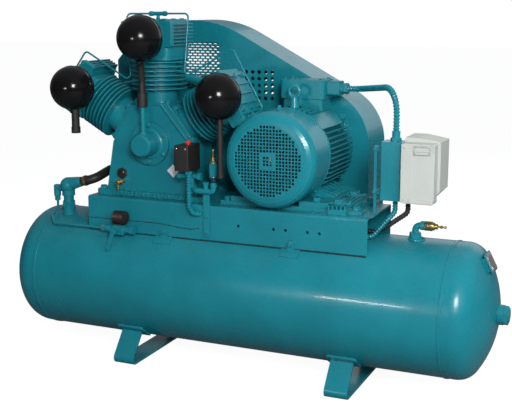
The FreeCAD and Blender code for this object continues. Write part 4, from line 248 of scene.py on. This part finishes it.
MATERIALS = {
    "teal_paint": enamel("enamel_sheet", 240.0, 0.00004, 0.0016, 0.24),
    "teal_casting": enamel("enamel_cast", 130.0, 0.00045, 0.0022, 0.26),
    "teal_conduit": enamel("enamel_conduit", 300.0, 0.00010, 0.0005, 0.22),
    "black_gloss": plastic("black_lacquer", (0.004, 0.0038, 0.004), (0.006, 0.0055, 0.006), 180.0, 0.13,
                           coat=0.05, shine=0.24),
    "black_rubber": plastic("black_rubber", (0.012, 0.012, 0.012), (0.020, 0.019, 0.018), 420.0, 0.42),
    "black_plastic": plastic("black_moulding", (0.013, 0.012, 0.012), (0.018, 0.017, 0.016), 600.0, 0.38),
    "red_plastic": plastic("red_knob", (0.62, 0.035, 0.018), (0.50, 0.025, 0.015), 300.0, 0.22, 0.4),
    "grey_plastic": plastic("pale_housing", (0.425, 0.450, 0.420), (0.400, 0.425, 0.400), 700.0, 0.38),
    "brass": metal("brass", (0.62, 0.40, 0.13), (0.45, 0.27, 0.09), 0.26),
    "plate": metal("brushed_plate", (0.62, 0.61, 0.60), (0.52, 0.51, 0.50), 0.30, (1, 1, 14)),
    "steel": metal("machined_steel", (0.52, 0.51, 0.50), (0.38, 0.37, 0.36), 0.30, (1, 9, 1)),
    "iron": metal("cast_iron", (0.13, 0.13, 0.13), (0.08, 0.075, 0.07), 0.45, None, 0.0015, 140.0),
    "alloy": metal("cast_alloy", (0.60, 0.60, 0.60), (0.50, 0.50, 0.50), 0.38),
}

for node in NODES.values():
    for place in node.material_slots:
        place.material = MATERIALS[place.material.name.split(".")[0]]

FITTINGS = {
    "white": plastic("blank_plate_white", (0.72, 0.72, 0.76), (0.60, 0.60, 0.66), 90.0, 0.30, 0.3),
    "brown": plastic("coil_brown", (0.020, 0.011, 0.009), (0.010, 0.008, 0.008), 240.0, 0.42),
    "thread": metal("black_thread", (0.055, 0.045, 0.050), (0.030, 0.026, 0.030), 0.42, None, 0.0003),
    "bright": metal("bright_nut", (0.86, 0.84, 0.80), (0.62, 0.60, 0.56), 0.16),
    "lens": plastic("dark_lens", (0.010, 0.012, 0.010), (0.016, 0.016, 0.012), 60.0, 0.06, 0.6),
    # painted shadow: near-black teal given to strips that stand for the shade in gaps and along edges
    "shadow": plastic("painted_shadow_dark", (0.004, 0.020, 0.024), (0.003, 0.014, 0.017), 200.0, 0.60),
}
FITTINGS.update(MATERIALS)


# --------------------------------------------------------------------- pieces
def islands(name):
    """Boxes (low, high) of the separate solids in a CAD node."""
    mesh = NODES[name].data
    parent = list(range(len(mesh.vertices)))

    def root(k):
        while parent[k] != k:
            parent[k] = parent[parent[k]]
            k = parent[k]
        return k

    places = {}
    for k, vertex in enumerate(mesh.vertices):
        spot = tuple(round(c, 6) for c in vertex.co)
        parent[k] = places.setdefault(spot, k)
    for edge in mesh.edges:
        a, b = (root(k) for k in edge.vertices)
        parent[a] = b
    found = {}
    for k, vertex in enumerate(mesh.vertices):
        low, high = found.setdefault(root(k), (vertex.co.copy(), vertex.co.copy()))
        for axis in range(3):
            low[axis] = min(low[axis], vertex.co[axis])
            high[axis] = max(high[axis], vertex.co[axis])
    return sorted(found.values(), key=lambda pair: tuple(round(c, 4) for c in pair[0]))


def add_piece(name, mesh, finish, smooth=True):
    """Link a finished mesh to the scene and let it stand with the machine."""
    piece = bpy.data.objects.new(name, mesh)
    bpy.context.scene.collection.objects.link(piece)
    mesh.materials.append(FITTINGS[finish])
    for face in mesh.polygons:
        face.use_smooth = smooth
    if smooth:
        mesh.set_sharp_from_angle(angle=SHARP_ANGLE)
    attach(piece, "machine")
    return piece


def add_bm(name, bm, finish, smooth=True):
    """Turn an edit mesh into a piece, with outward faces."""
    bmesh.ops.recalc_face_normals(bm, faces=bm.faces)
    mesh = bpy.data.meshes.new(name)
    bm.to_mesh(mesh)
    bm.free()
    return add_piece(name, mesh, finish, smooth)


def turn_to(axis):
    """Rotation that takes +Z to the axis."""
    return Vector((0, 0, 1)).rotation_difference(Vector(axis)).to_matrix().to_4x4()


def round_points(centre, radius, sides):
    """Points (x, y) round a circle."""
    for k in range(sides):
        a = 2 * math.pi * k / sides
        yield centre + radius * math.cos(a), radius * math.sin(a)


def join_rings(bm, one, two):
    """Faces between two rings of as many points."""
    sides = len(one)
    for k in range(sides):
        bm.faces.new((one[k], one[(k + 1) % sides], two[(k + 1) % sides], two[k]))


def lathe(bm, profile, spot, axis, sides=32):
    """Closed turned shape; profile is (height, radius) pairs along the axis."""
    place = Matrix.Translation(Vector(spot)) @ turn_to(axis)
    rings = []
    for height, radius in profile:
        circle = round_points(0, radius, sides)
        rings.append([bm.verts.new(place @ Vector((x, y, height))) for x, y in circle])
    for one, two in zip(rings, rings[1:]):
        join_rings(bm, one, two)
    for ring in (rings[0], rings[-1]):
        bm.faces.new(ring)


def turned_piece(name, profile, spot, axis, sides, finish):
    """One turned shape as a piece of its own."""
    bm = bmesh.new()
    lathe(bm, profile, spot, axis, sides)
    return add_bm(name, bm, finish)


def hoop(bm, spot, axis, radius, thick, sides=48, lumps=0, uneven=0.0):
    """Ring of round section; lumps make it look like a weld bead."""
    place = Matrix.Translation(Vector(spot)) @ turn_to(axis)
    rings = []
    for k in range(sides):
        a = 2 * math.pi * k / sides
        t = thick * (1 + uneven * math.sin(lumps * a)) if lumps else thick
        ring = []
        for r, z in round_points(radius, t, HOOP_SECTION):
            ring.append(bm.verts.new(place @ Vector((r * math.cos(a), r * math.sin(a), z))))
        rings.append(ring)
    for one, two in zip(rings, rings[1:] + rings[:1]):
        join_rings(bm, one, two)


def bend_route(corners, radius):
    """Points along a polyline whose corners are rounded."""
    pts = [Vector(c) for c in corners]
    route = [pts[0]]
    for before, corner, after in zip(pts, pts[1:], pts[2:]):
        a = (before - corner).normalized()
        b = (after - corner).normalized()
        half = a.angle(b) / 2
        back = radius / math.tan(half)
        centre = corner + (a + b).normalized() * (radius / math.sin(half))
        first = (corner + a * back - centre).normalized()
        last = (corner + b * back - centre).normalized()
        for k in range(BEND_STEPS + 1):
            route.append(centre + first.slerp(last, k / BEND_STEPS) * radius)
    route.append(pts[-1])
    return route


def even_steps(route, step):
    """The route resampled at equal distances."""
    out = [route[0]]
    left = step
    for a, b in zip(route, route[1:]):
        length = (b - a).length
        done = 0.0
        while length - done >= left:
            done += left
            out.append(a.lerp(b, done / length))
            left = step
        left -= length - done
    if (route[-1] - out[-1]).length > step * 0.3:
        out.append(route[-1])
    return out


def ribbed_tube(name, corners, ribs, finish):
    """Tube whose skin waves along its length, such as a flexible conduit."""
    steps = even_steps(bend_route(corners, ribs["bend"]), ribs["pitch"] / RIB_STEPS)
    bm = bmesh.new()
    along = (steps[1] - steps[0]).normalized()
    across = along.orthogonal().normalized()
    rings = []
    for k, spot in enumerate(steps):
        ahead = steps[min(k + 1, len(steps) - 1)] - steps[max(k - 1, 0)]
        ahead.normalize()
        across = (across - ahead * across.dot(ahead)).normalized()
        other = ahead.cross(across)
        wave = 0.5 + 0.5 * math.cos(2 * math.pi * k / RIB_STEPS)
        r = ribs["radius"] - ribs["depth"] * (1 - wave)
        circle = round_points(0, r, TUBE_SIDES)
        rings.append([bm.verts.new(spot + across * x + other * y) for x, y in circle])
    for one, two in zip(rings, rings[1:]):
        join_rings(bm, one, two)
    bm.faces.new(rings[0])
    bm.faces.new(rings[-1])
    return add_bm(name, bm, finish)


def thicken(bm, outline, y, thick):
    """Closed upright plate from (x, z) corners, its front face at y."""
    face = bm.faces.new([bm.verts.new((x, y, z)) for x, z in outline])
    moved = bmesh.ops.extrude_face_region(bm, geom=[face])
    shift = [v for v in moved["geom"] if isinstance(v, bmesh.types.BMVert)]
    bmesh.ops.translate(bm, verts=shift, vec=(0, thick, 0))


def plate(name, outline, y, thick, finish):
    """Thin upright plate as a piece of its own."""
    bm = bmesh.new()
    thicken(bm, outline, y, thick)
    return add_bm(name, bm, finish, smooth=False)


def block(bm, low, high):
    """Box between two corners."""
    middle = (low + high) / 2
    size = high - low
    for v in bmesh.ops.create_cube(bm, size=1.0)["verts"]:
        v.co = middle + v.co * size


# ------------------------------------------------------------ detail pieces
def conduit_runs():
    """Ribbed conduits of the motor, the controls and the switch."""
    lid_low, lid_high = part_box("terminal_box")
    hang_low, hang_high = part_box("control_bracket")
    box_low, box_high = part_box("control_box")
    gland = Vector((lid_high.x + 0.062, (lid_low.y + lid_high.y) / 2 + 0.001, lid_high.z - 0.035))
    drop = Vector((hang_high.x - 0.032, hang_low.y + 0.058, hang_high.z))
    corners = [gland, gland + Vector((0.044, 0, 0))]
    corners += [drop + Vector((0, 0, 0.171)), drop + Vector((0, 0, 0.012))]
    first = ribbed_tube("conduit_motor", corners, MOTOR_RIBS, "teal_conduit")
    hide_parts("conduits")
    x = hang_high.x - 0.031
    near = [(x, -0.056, box_low.z + 0.030), (x, -0.056, 0.610)]
    near += [(0.470, -0.060, 0.520), (0.420, -0.060, 0.520)]
    ribbed_tube("conduit_lower_near", near, LOWER_RIBS, "teal_conduit")
    x = box_low.x + 0.006
    far = [(x, -0.036, box_low.z - 0.0002), (x, -0.036, 0.606)]
    far += [(0.480, -0.020, 0.530), (0.420, -0.020, 0.530)]
    ribbed_tube("conduit_lower_far", far, LOWER_RIBS, "black_rubber")
    sw_low, sw_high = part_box("pressure_switch")
    x = sw_high.x - 0.009
    y = sw_low.y + 0.018
    down = [(x, y, sw_low.z), (x, y, 0.588), (x + 0.014, y, 0.567), (x + 0.036, -0.1366, 0.563)]
    ribbed_tube("conduit_switch", down, SWITCH_RIBS, "teal_conduit")
    profile = [(0, 0.0126), (0.0005, 0.0132), (0.011, 0.0132), (0.0115, 0.0126)]
    spot = (x, y, sw_low.z - 0.012)
    turned_piece("conduit_switch_gland", profile, spot, UP, 6, "teal_casting")


def filter_trim():
    """Pressed seam and centre nut on each round air filter."""
    bm = bmesh.new()
    nut = [(0, 0.011), (0.006, 0.011), (0.0075, 0.008)]
    for low, high in islands("air_filters"):
        centre = (low + high) / 2
        radius = (high.z - low.z) / 2
        if radius < FILTER_RADIUS_MIN:
            continue
        hoop(bm, centre, (0, 1, 0), radius + 0.0002, 0.0011, 96)
        lathe(bm, nut, centre + Vector((0, 0, -radius - 0.004)), DOWN, 24)
    add_bm("filter_trim", bm, "black_gloss")


def valve_cap():
    """Ridged cap of the valve block, and the bright nut of its pilot line."""
    low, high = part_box("valve_coil")
    centre = (low + high) / 2
    radius = (high.x - low.x) / 2
    z = high.z - radius
    profile = []
    for k in range(CAP_RINGS):
        x = -CAP_HALF + 2 * CAP_HALF * k / (CAP_RINGS - 1)
        edge = 0.90 if k in (0, CAP_RINGS - 1) else 1.0
        profile.append((x, (radius - 0.001) * edge * (1.0 if k % 2 else 0.88)))
    bm = bmesh.new()
    lathe(bm, profile, (centre.x, centre.y, z), (1, 0, 0), 40)
    neck = [(0, 0.009), (z - radius * 0.8 - low.z, 0.009)]
    lathe(bm, neck, (centre.x, centre.y, low.z), UP, 24)
    piece = add_bm("valve_coil_cap", bm, "brown")
    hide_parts("valve_coil")
    line_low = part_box("pilot_line")[0]
    spot = (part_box("ball_valve_body")[0].x - 0.009, line_low.y + PILOT_RADIUS, line_low.z + PILOT_RADIUS)
    nut = [(0, 0.008), (0.002, 0.0115), (0.012, 0.0115), (0.014, 0.009)]
    turned_piece("pilot_nut", nut, spot, (1, 0, 0), 6, "bright")


def case_fittings():
    """Sight glass, drain cock and a blank diamond on the crankcase front."""
    boxes = [pair for pair in islands("brass_fittings") if pair[0].y < CASE_FRONT - 0.0079]
    boxes.sort(key=lambda pair: pair[1].z)
    drain, glass = boxes[0], boxes[-1]
    centre = (glass[0] + glass[1]) / 2
    rim = [(0, 0.0190), (0.002, 0.0195), (0.009, 0.0185), (0.0095, 0.0130), (0.0075, 0.0120)]
    spot = (centre.x, glass[1].y - 0.006, centre.z)
    turned_piece("sight_glass_rim", rim, spot, FORWARD, 36, "black_plastic")
    lens = [(0, 0.0125), (0.001, 0.0120), (0.0025, 0.0070)]
    spot = (centre.x, glass[0].y + 0.0005, centre.z)
    turned_piece("sight_glass_lens", lens, spot, FORWARD, 32, "lens")
    centre = (drain[0] + drain[1]) / 2
    barrel = [(0, 0.0065), (0.010, 0.0065), (0.011, 0.0085), (0.018, 0.0085)]
    barrel += [(0.020, 0.0050), (0.026, 0.0045)]
    spout = [(0, 0.0042), (0.018, 0.0042), (0.019, 0.0060), (0.026, 0.0050)]
    bm = bmesh.new()
    lathe(bm, barrel, (centre.x, drain[0].y + 0.002, centre.z), FORWARD, 24)
    lathe(bm, spout, (centre.x, drain[0].y - 0.010, centre.z - 0.002), DOWN, 20)
    add_bm("drain_cock", bm, "brass")
    case_low, case_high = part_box("crankcase")
    x = case_low.x + 0.70 * (case_high.x - case_low.x)
    z = case_low.z + 0.100
    outline = [(x, z + 0.023), (x + 0.024, z), (x, z - 0.023), (x - 0.024, z)]
    plate("blank_diamond", outline, CASE_FRONT - 0.0010, 0.0010, "white")


def base_overlay():
    """Thin doubler on the front of the base channel, with a falling top edge and a painted shadow line
    along that edge.
    """
    low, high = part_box("base_frame")
    strap = [pair for pair in islands("support_brackets") if pair[1].z > high.z]
    left = low.x + 0.001
    right = strap[0][0].x - 0.020
    bottom = low.z + 0.0005
    top = low.z + 0.041
    edge = [(right, top - 0.004)]
    for k in range(OVERLAY_STEPS + 1):
        t = k / OVERLAY_STEPS
        edge.append((right - 0.030 - 0.150 * t, top - 0.009 + 0.010 * (0.5 - 0.5 * math.cos(math.pi * t))))
    edge.append((left, top))
    outline = [(left, bottom), (right, bottom)] + edge
    plate("base_overlay", outline, low.y - 0.0014, 0.0013, "teal_paint")
    # painted shadow: dark strip along the falling edge of the doubler, standing for the shade at its edge
    shade = [(x, z + 0.0024) for x, z in edge] + [(x, z - 0.0004) for x, z in reversed(edge)]
    plate("base_overlay_painted_shadow", shade, low.y - 0.0012, 0.0010, "shadow")


def base_gap():
    """Painted shadow: dark strip under the front edge of the base, standing for the shaded gap above the
    tank.
    """
    low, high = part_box("base_frame")
    left, right = low.x + 0.190, high.x - 0.003
    bottom, top = low.z - 0.0045, low.z + 0.0012
    outline = [(left, bottom), (right, bottom), (right, top), (left, top)]
    plate("base_gap_painted_shadow", outline, low.y - 0.0010, 0.0060, "shadow")


def relief_trim():
    """Threaded nipple, bright lock ring, collar and brass sleeve of the relief valves."""
    stem_low, stem_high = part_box("relief_stem_front")
    x = (stem_low.x + stem_high.x) / 2
    y = (stem_low.y + stem_high.y) / 2
    bodies = islands("relief_bodies")
    front = min(bodies, key=lambda pair: pair[0].x)
    foot = (x, y, front[0].z)
    thread = [(-0.0215 + 0.00085 * k, 0.0118 if k % 2 else 0.0108) for k in range(23)]
    turned_piece("relief_thread", thread, foot, UP, 32, "thread")
    ring = [(-0.0042, 0.0125), (-0.0036, 0.0142), (-0.0004, 0.0142), (0.0002, 0.0125)]
    turned_piece("relief_lock_ring", ring, foot, UP, 32, "bright")
    collar = [(-0.004, 0.0150), (-0.002, 0.0168), (0.0012, 0.0168), (0.0022, 0.0120)]
    turned_piece("relief_collar", collar, (x, y, front[1].z - 0.006), UP, 32, "brass")
    rear = max(bodies, key=lambda pair: pair[0].x)
    middle = (rear[0] + rear[1]) / 2
    length = rear[1].x - rear[0].x
    sleeve = [(0.0004, 0.0130)]
    for k in range(13):
        sleeve.append((0.002 + (length - 0.009) * k / 12, 0.0162 if k % 2 else 0.0150))
    sleeve += [(length - 0.004, 0.0132), (length + 0.0004, 0.0128)]
    spot = (rear[0].x, middle.y, middle.z)
    turned_piece("tank_relief_sleeve", sleeve, spot, (1, 0, 0), 36, "brass")


def weld_beads():
    """Uneven weld beads round the bosses and the end port, and weld lumps on the lug pads."""
    bm = bmesh.new()
    tank_low, tank_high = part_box("tank_shell")
    centre = (tank_low + tank_high) / 2
    reach = (tank_high.z - tank_low.z) / 2 - 0.002
    for low, high in islands("tank_sockets"):
        mid = (low + high) / 2
        if high.x - low.x > 0.06 or mid.z < centre.z - 0.1:
            continue
        if mid.x > tank_high.x + 0.02:
            hoop(bm, (high.x - 0.024, mid.y, mid.z), (1, 0, 0), (high.z - low.z) / 2, 0.0035, 72, 25, 0.16)
            continue
        z = centre.z + math.sqrt(max(0.0, reach ** 2 - mid.y ** 2))
        outward = (0, mid.y, z - centre.z)
        hoop(bm, (mid.x, mid.y, z + 0.001), outward, (high.x - low.x) / 2, 0.0034, 64, 19, 0.18)
    for low, high in islands("support_brackets"):
        if high.z > LUG_TOP or low.z > LUG_BOTTOM:
            continue
        side = 1.0 if low.y > 0 else -1.0
        x = (low.x + high.x) / 2
        for dx in (-0.024, -0.012, 0.012, 0.024):
            size = 0.0055 + 0.0012 * math.sin(900 * dx)
            lump = [(-0.001, size * 1.25), (0.0016, size), (0.0030, size * 0.5)]
            lathe(bm, lump, (x + dx, side * 0.1470, 0.4610), (0, side * 0.65, 0.76), 14)
    add_bm("weld_beads", bm, "teal_casting")


def cover_screws():
    """Screws, clamp and rolled edge of the fan cover, and the screws of the switch."""
    cover_low, cover_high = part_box("fan_cover")
    centre = (cover_low + cover_high) / 2
    radius = (cover_high.z - cover_low.z) / 2
    screw = [(0, 0.0072), (0.0008, 0.0072), (0.0022, 0.0056), (0.0045, 0.0050), (0.0052, 0.0030)]
    bm = bmesh.new()
    for k in range(4):
        a = math.radians(45 + 90 * k)
        out = Vector((math.cos(a), 0, math.sin(a)))
        spot = Vector((centre.x, cover_high.y - 0.014, centre.z)) + out * (radius - 0.0006)
        lathe(bm, screw, spot, out, 18)
    clamp = [(0, 0.0100), (0.004, 0.0100), (0.005, 0.0066), (0.011, 0.0066), (0.012, 0.0040)]
    lathe(bm, clamp, (centre.x - 0.010, cover_high.y - 0.030, cover_high.z - 0.0008), UP, 6)
    hoop(bm, (centre.x, cover_high.y - 0.001, centre.z), (0, 1, 0), radius - 0.0004, 0.0016, 96)
    add_bm("fan_cover_screws", bm, "teal_casting")
    low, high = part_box("pressure_switch")
    head = [(0, 0.0034), (0.0012, 0.0034), (0.0018, 0.0022)]
    bm = bmesh.new()
    for x in (low.x + 0.010, high.x - 0.012):
        lathe(bm, head, (x, low.y + 0.0002, high.z - 0.010), FORWARD, 16)
    add_bm("switch_screws", bm, "bright")


def control_trim():
    """Fixing screws and an empty label frame on the control cover."""
    low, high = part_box("control_cover")
    head = [(0, 0.0042), (0.0012, 0.0042), (0.0018, 0.0026)]
    bm = bmesh.new()
    x = low.x + 0.012
    for z in (low.z + 0.012, high.z - 0.012):
        lathe(bm, head, (x, low.y + 0.0042, z), FORWARD, 18)
    add_bm("control_screws", bm, "grey_plastic")
    left, right = low.x + 0.042, high.x - 0.012
    top = high.z - 0.0065
    near, far = low.y + 0.0005, low.y + 0.0051
    bm = bmesh.new()
    for z in (top, top - 0.0244):
        block(bm, Vector((left, near, z - LABEL_RAIL)), Vector((right, far, z)))
    for x in (left, right - LABEL_RAIL):
        block(bm, Vector((x, near, top - 0.0246)), Vector((x + LABEL_RAIL, far, top - 0.0024)))
    bmesh.ops.bevel(bm, geom=bm.edges[:], offset=0.0007, segments=2, affect="EDGES")
    add_bm("control_label_tab", bm, "grey_plastic")


def case_flange():
    """Raised flange edge of the right bank on the crankcase front, with its two lips."""
    case_low, case_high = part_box("crankcase")
    middle = (case_low.x + case_high.x) / 2
    crank = JOINT_SPOTS["flywheel_spin"]
    y = CASE_FRONT - 0.0004
    corners = [(0.048, 0.140), (0.146, 0.022), (0.162, 0.030), (0.070, 0.146)]
    outline = [(middle + x, crank.z + z) for x, z in corners]
    bm = bmesh.new()
    thicken(bm, outline, y - 0.0045, 0.006)
    bmesh.ops.bevel(bm, geom=bm.edges[:], offset=0.0014, segments=3, affect="EDGES")
    add_bm("case_flange", bm, "teal_casting")
    ends = [(x, y - 0.0050, z) for x, z in outline]
    ribbed_tube("case_flange_lip_a", [ends[0], ends[1]], LIP_RIBS, "teal_casting")
    ribbed_tube("case_flange_lip_b", [ends[3], ends[2]], LIP_RIBS, "teal_casting")


def plate_holder():
    """Teal backing frame behind the blank nameplate."""
    mesh = NODES["nameplate"].data
    centre = sum((v.co for v in mesh.vertices), Vector()) / len(mesh.vertices)
    normal = max(mesh.polygons, key=lambda face: face.area).normal.copy()
    if normal.x + normal.z < 0:
        normal = -normal
    copy = mesh.copy()
    copy.name = "plate_holder"
    copy.materials.clear()
    for v in copy.vertices:
        off = v.co - centre
        v.co = centre + off * HOLDER_SCALE - normal * (0.0022 + (HOLDER_SCALE - 1) * off.dot(normal))
    for name in [a.name for a in copy.attributes if a.name.startswith("custom_normal")]:
        copy.attributes.remove(copy.attributes[name])
    add_piece("plate_holder", copy, "teal_paint", smooth=False)


conduit_runs()
case_flange()
plate_holder()
filter_trim()
valve_cap()
case_fittings()
base_overlay()
base_gap()
relief_trim()
weld_beads()
cover_screws()
control_trim()


# ---------------------------------------------------------------------- stage
def softbox(name, spot, aim, size, power, mirrored=True):
    """Rectangular studio light that looks at a point; some leave no mirror image."""
    data = bpy.data.lights.new(name, "AREA")
    data.shape = "RECTANGLE"
    data.size, data.size_y = size
    data.energy = power
    light = bpy.data.objects.new(name, data)
    light.visible_glossy = mirrored
    light.location = spot
    light.rotation_euler = (Vector(aim) - Vector(spot)).to_track_quat("-Z", "Y").to_euler()
    bpy.context.scene.collection.objects.link(light)


def floor():
    """Plain pale floor; what the camera sees of it glows, so that it lights nothing."""
    mesh = bpy.data.meshes.new("studio_floor")
    corners = [(-1, -1), (1, -1), (1, 1), (-1, 1)]
    mesh.from_pydata([(x * FLOOR_HALF, y * FLOOR_HALF, 0) for x, y in corners], [], [(0, 1, 2, 3)])
    plane = bpy.data.objects.new("studio_floor", mesh)
    plane.location.z = FLOOR_Z
    bpy.context.scene.collection.objects.link(plane)
    p = Paint("floor_white")
    tone = p.blend(p.noise(1.2, 2.0), (0.16, 0.16, 0.16), (0.15, 0.15, 0.15))
    seen = p.add("ShaderNodeLightPath").outputs["Is Camera Ray"]
    tone = p.blend(seen, (0.16, 0.17, 0.18), tone)
    p.set(Specular_IOR_Level=0.1, Emission_Color=(1, 1, 1, 1))
    p.join(p.span(seen, 0, 1, 0.0, FLOOR_GLOW), p.shader.inputs["Emission Strength"])
    mesh.materials.append(p.done(tone, p.span(p.noise(4.0), 0, 1, 0.75, 0.85)))


def sky():
    """Pale surround: bright behind, above and to the right, dim in front."""
    world = bpy.data.worlds.new("studio")
    bpy.context.scene.world = world
    world.use_nodes = True
    nodes = world.node_tree.nodes
    links = world.node_tree.links
    back = nodes["Background"]
    seen = nodes.new("ShaderNodeLightPath").outputs["Is Camera Ray"]
    split = nodes.new("ShaderNodeSeparateXYZ")
    links.new(nodes.new("ShaderNodeTexCoord").outputs["Generated"], split.inputs[0])
    total = None
    for axis, low, high, amount in SKY_GLOW:
        part = nodes.new("ShaderNodeMapRange")
        part.inputs["From Min"].default_value = low
        part.inputs["From Max"].default_value = high
        part.inputs["To Max"].default_value = amount
        links.new(split.outputs[axis], part.inputs["Value"])
        plus = nodes.new("ShaderNodeMath")
        links.new(part.outputs["Result"], plus.inputs[0])
        if total is None:
            plus.inputs[1].default_value = SKY_BASE
        else:
            links.new(total, plus.inputs[1])
        total = plus.outputs[0]
    strength = nodes.new("ShaderNodeMix")
    links.new(seen, strength.inputs["Factor"])
    links.new(total, strength.inputs["A"])
    strength.inputs["B"].default_value = 1.0
    links.new(strength.outputs[0], back.inputs["Strength"])
    tint = nodes.new("ShaderNodeMix")
    tint.data_type = "RGBA"
    links.new(seen, tint.inputs["Factor"])
    tint.inputs[6].default_value = SKY_TINT
    tint.inputs[7].default_value = (1.0, 1.0, 1.0, 1.0)
    links.new(tint.outputs[2], back.inputs["Color"])


def camera():
    """Camera at the viewing angle of the studio picture."""
    spot = Vector(CAMERA_SPOT)
    data = bpy.data.cameras.new("studio_camera")
    data.sensor_width = 36.0
    data.lens = CAMERA_LENS
    data.clip_start = 0.05
    data.clip_end = 200.0
    eye = bpy.data.objects.new("studio_camera", data)
    turn = (Vector(CAMERA_AIM) - spot).to_track_quat("-Z", "Y").to_matrix().to_4x4()
    eye.matrix_world = Matrix.Translation(spot) @ turn @ Matrix.Rotation(CAMERA_ROLL, 4, "Z")
    bpy.context.scene.collection.objects.link(eye)
    bpy.context.scene.camera = eye


floor()
sky()
camera()
softbox("key_soft", (1.85, -3.05, 1.98), (0.1, 0.0, 0.7), (0.86, 0.86), 122.0)
softbox("key_streak", (-0.65, -3.9, 1.05), (0.0, 0.0, 0.8), (0.62, 0.16), 22.0)
softbox("front_fill", (2.7, -1.9, 1.6), (0.2, 0.0, 0.6), (1.2, 1.2), 42.0, mirrored=False)
softbox("overhead", (0.2, 0.4, 3.8), (0.0, 0.0, 0.4), (3.6, 2.6), 40.0, mirrored=False)
softbox("right_wall", (4.2, 0.8, 1.8), (0.2, 0.0, 0.7), (2.0, 2.2), 20.0, mirrored=False)
softbox("rear_wall", (0.6, 4.6, 2.2), (0.1, 0.2, 0.8), (4.0, 2.4), 20.0)

bpy.context.scene.view_settings.view_transform = "Standard"
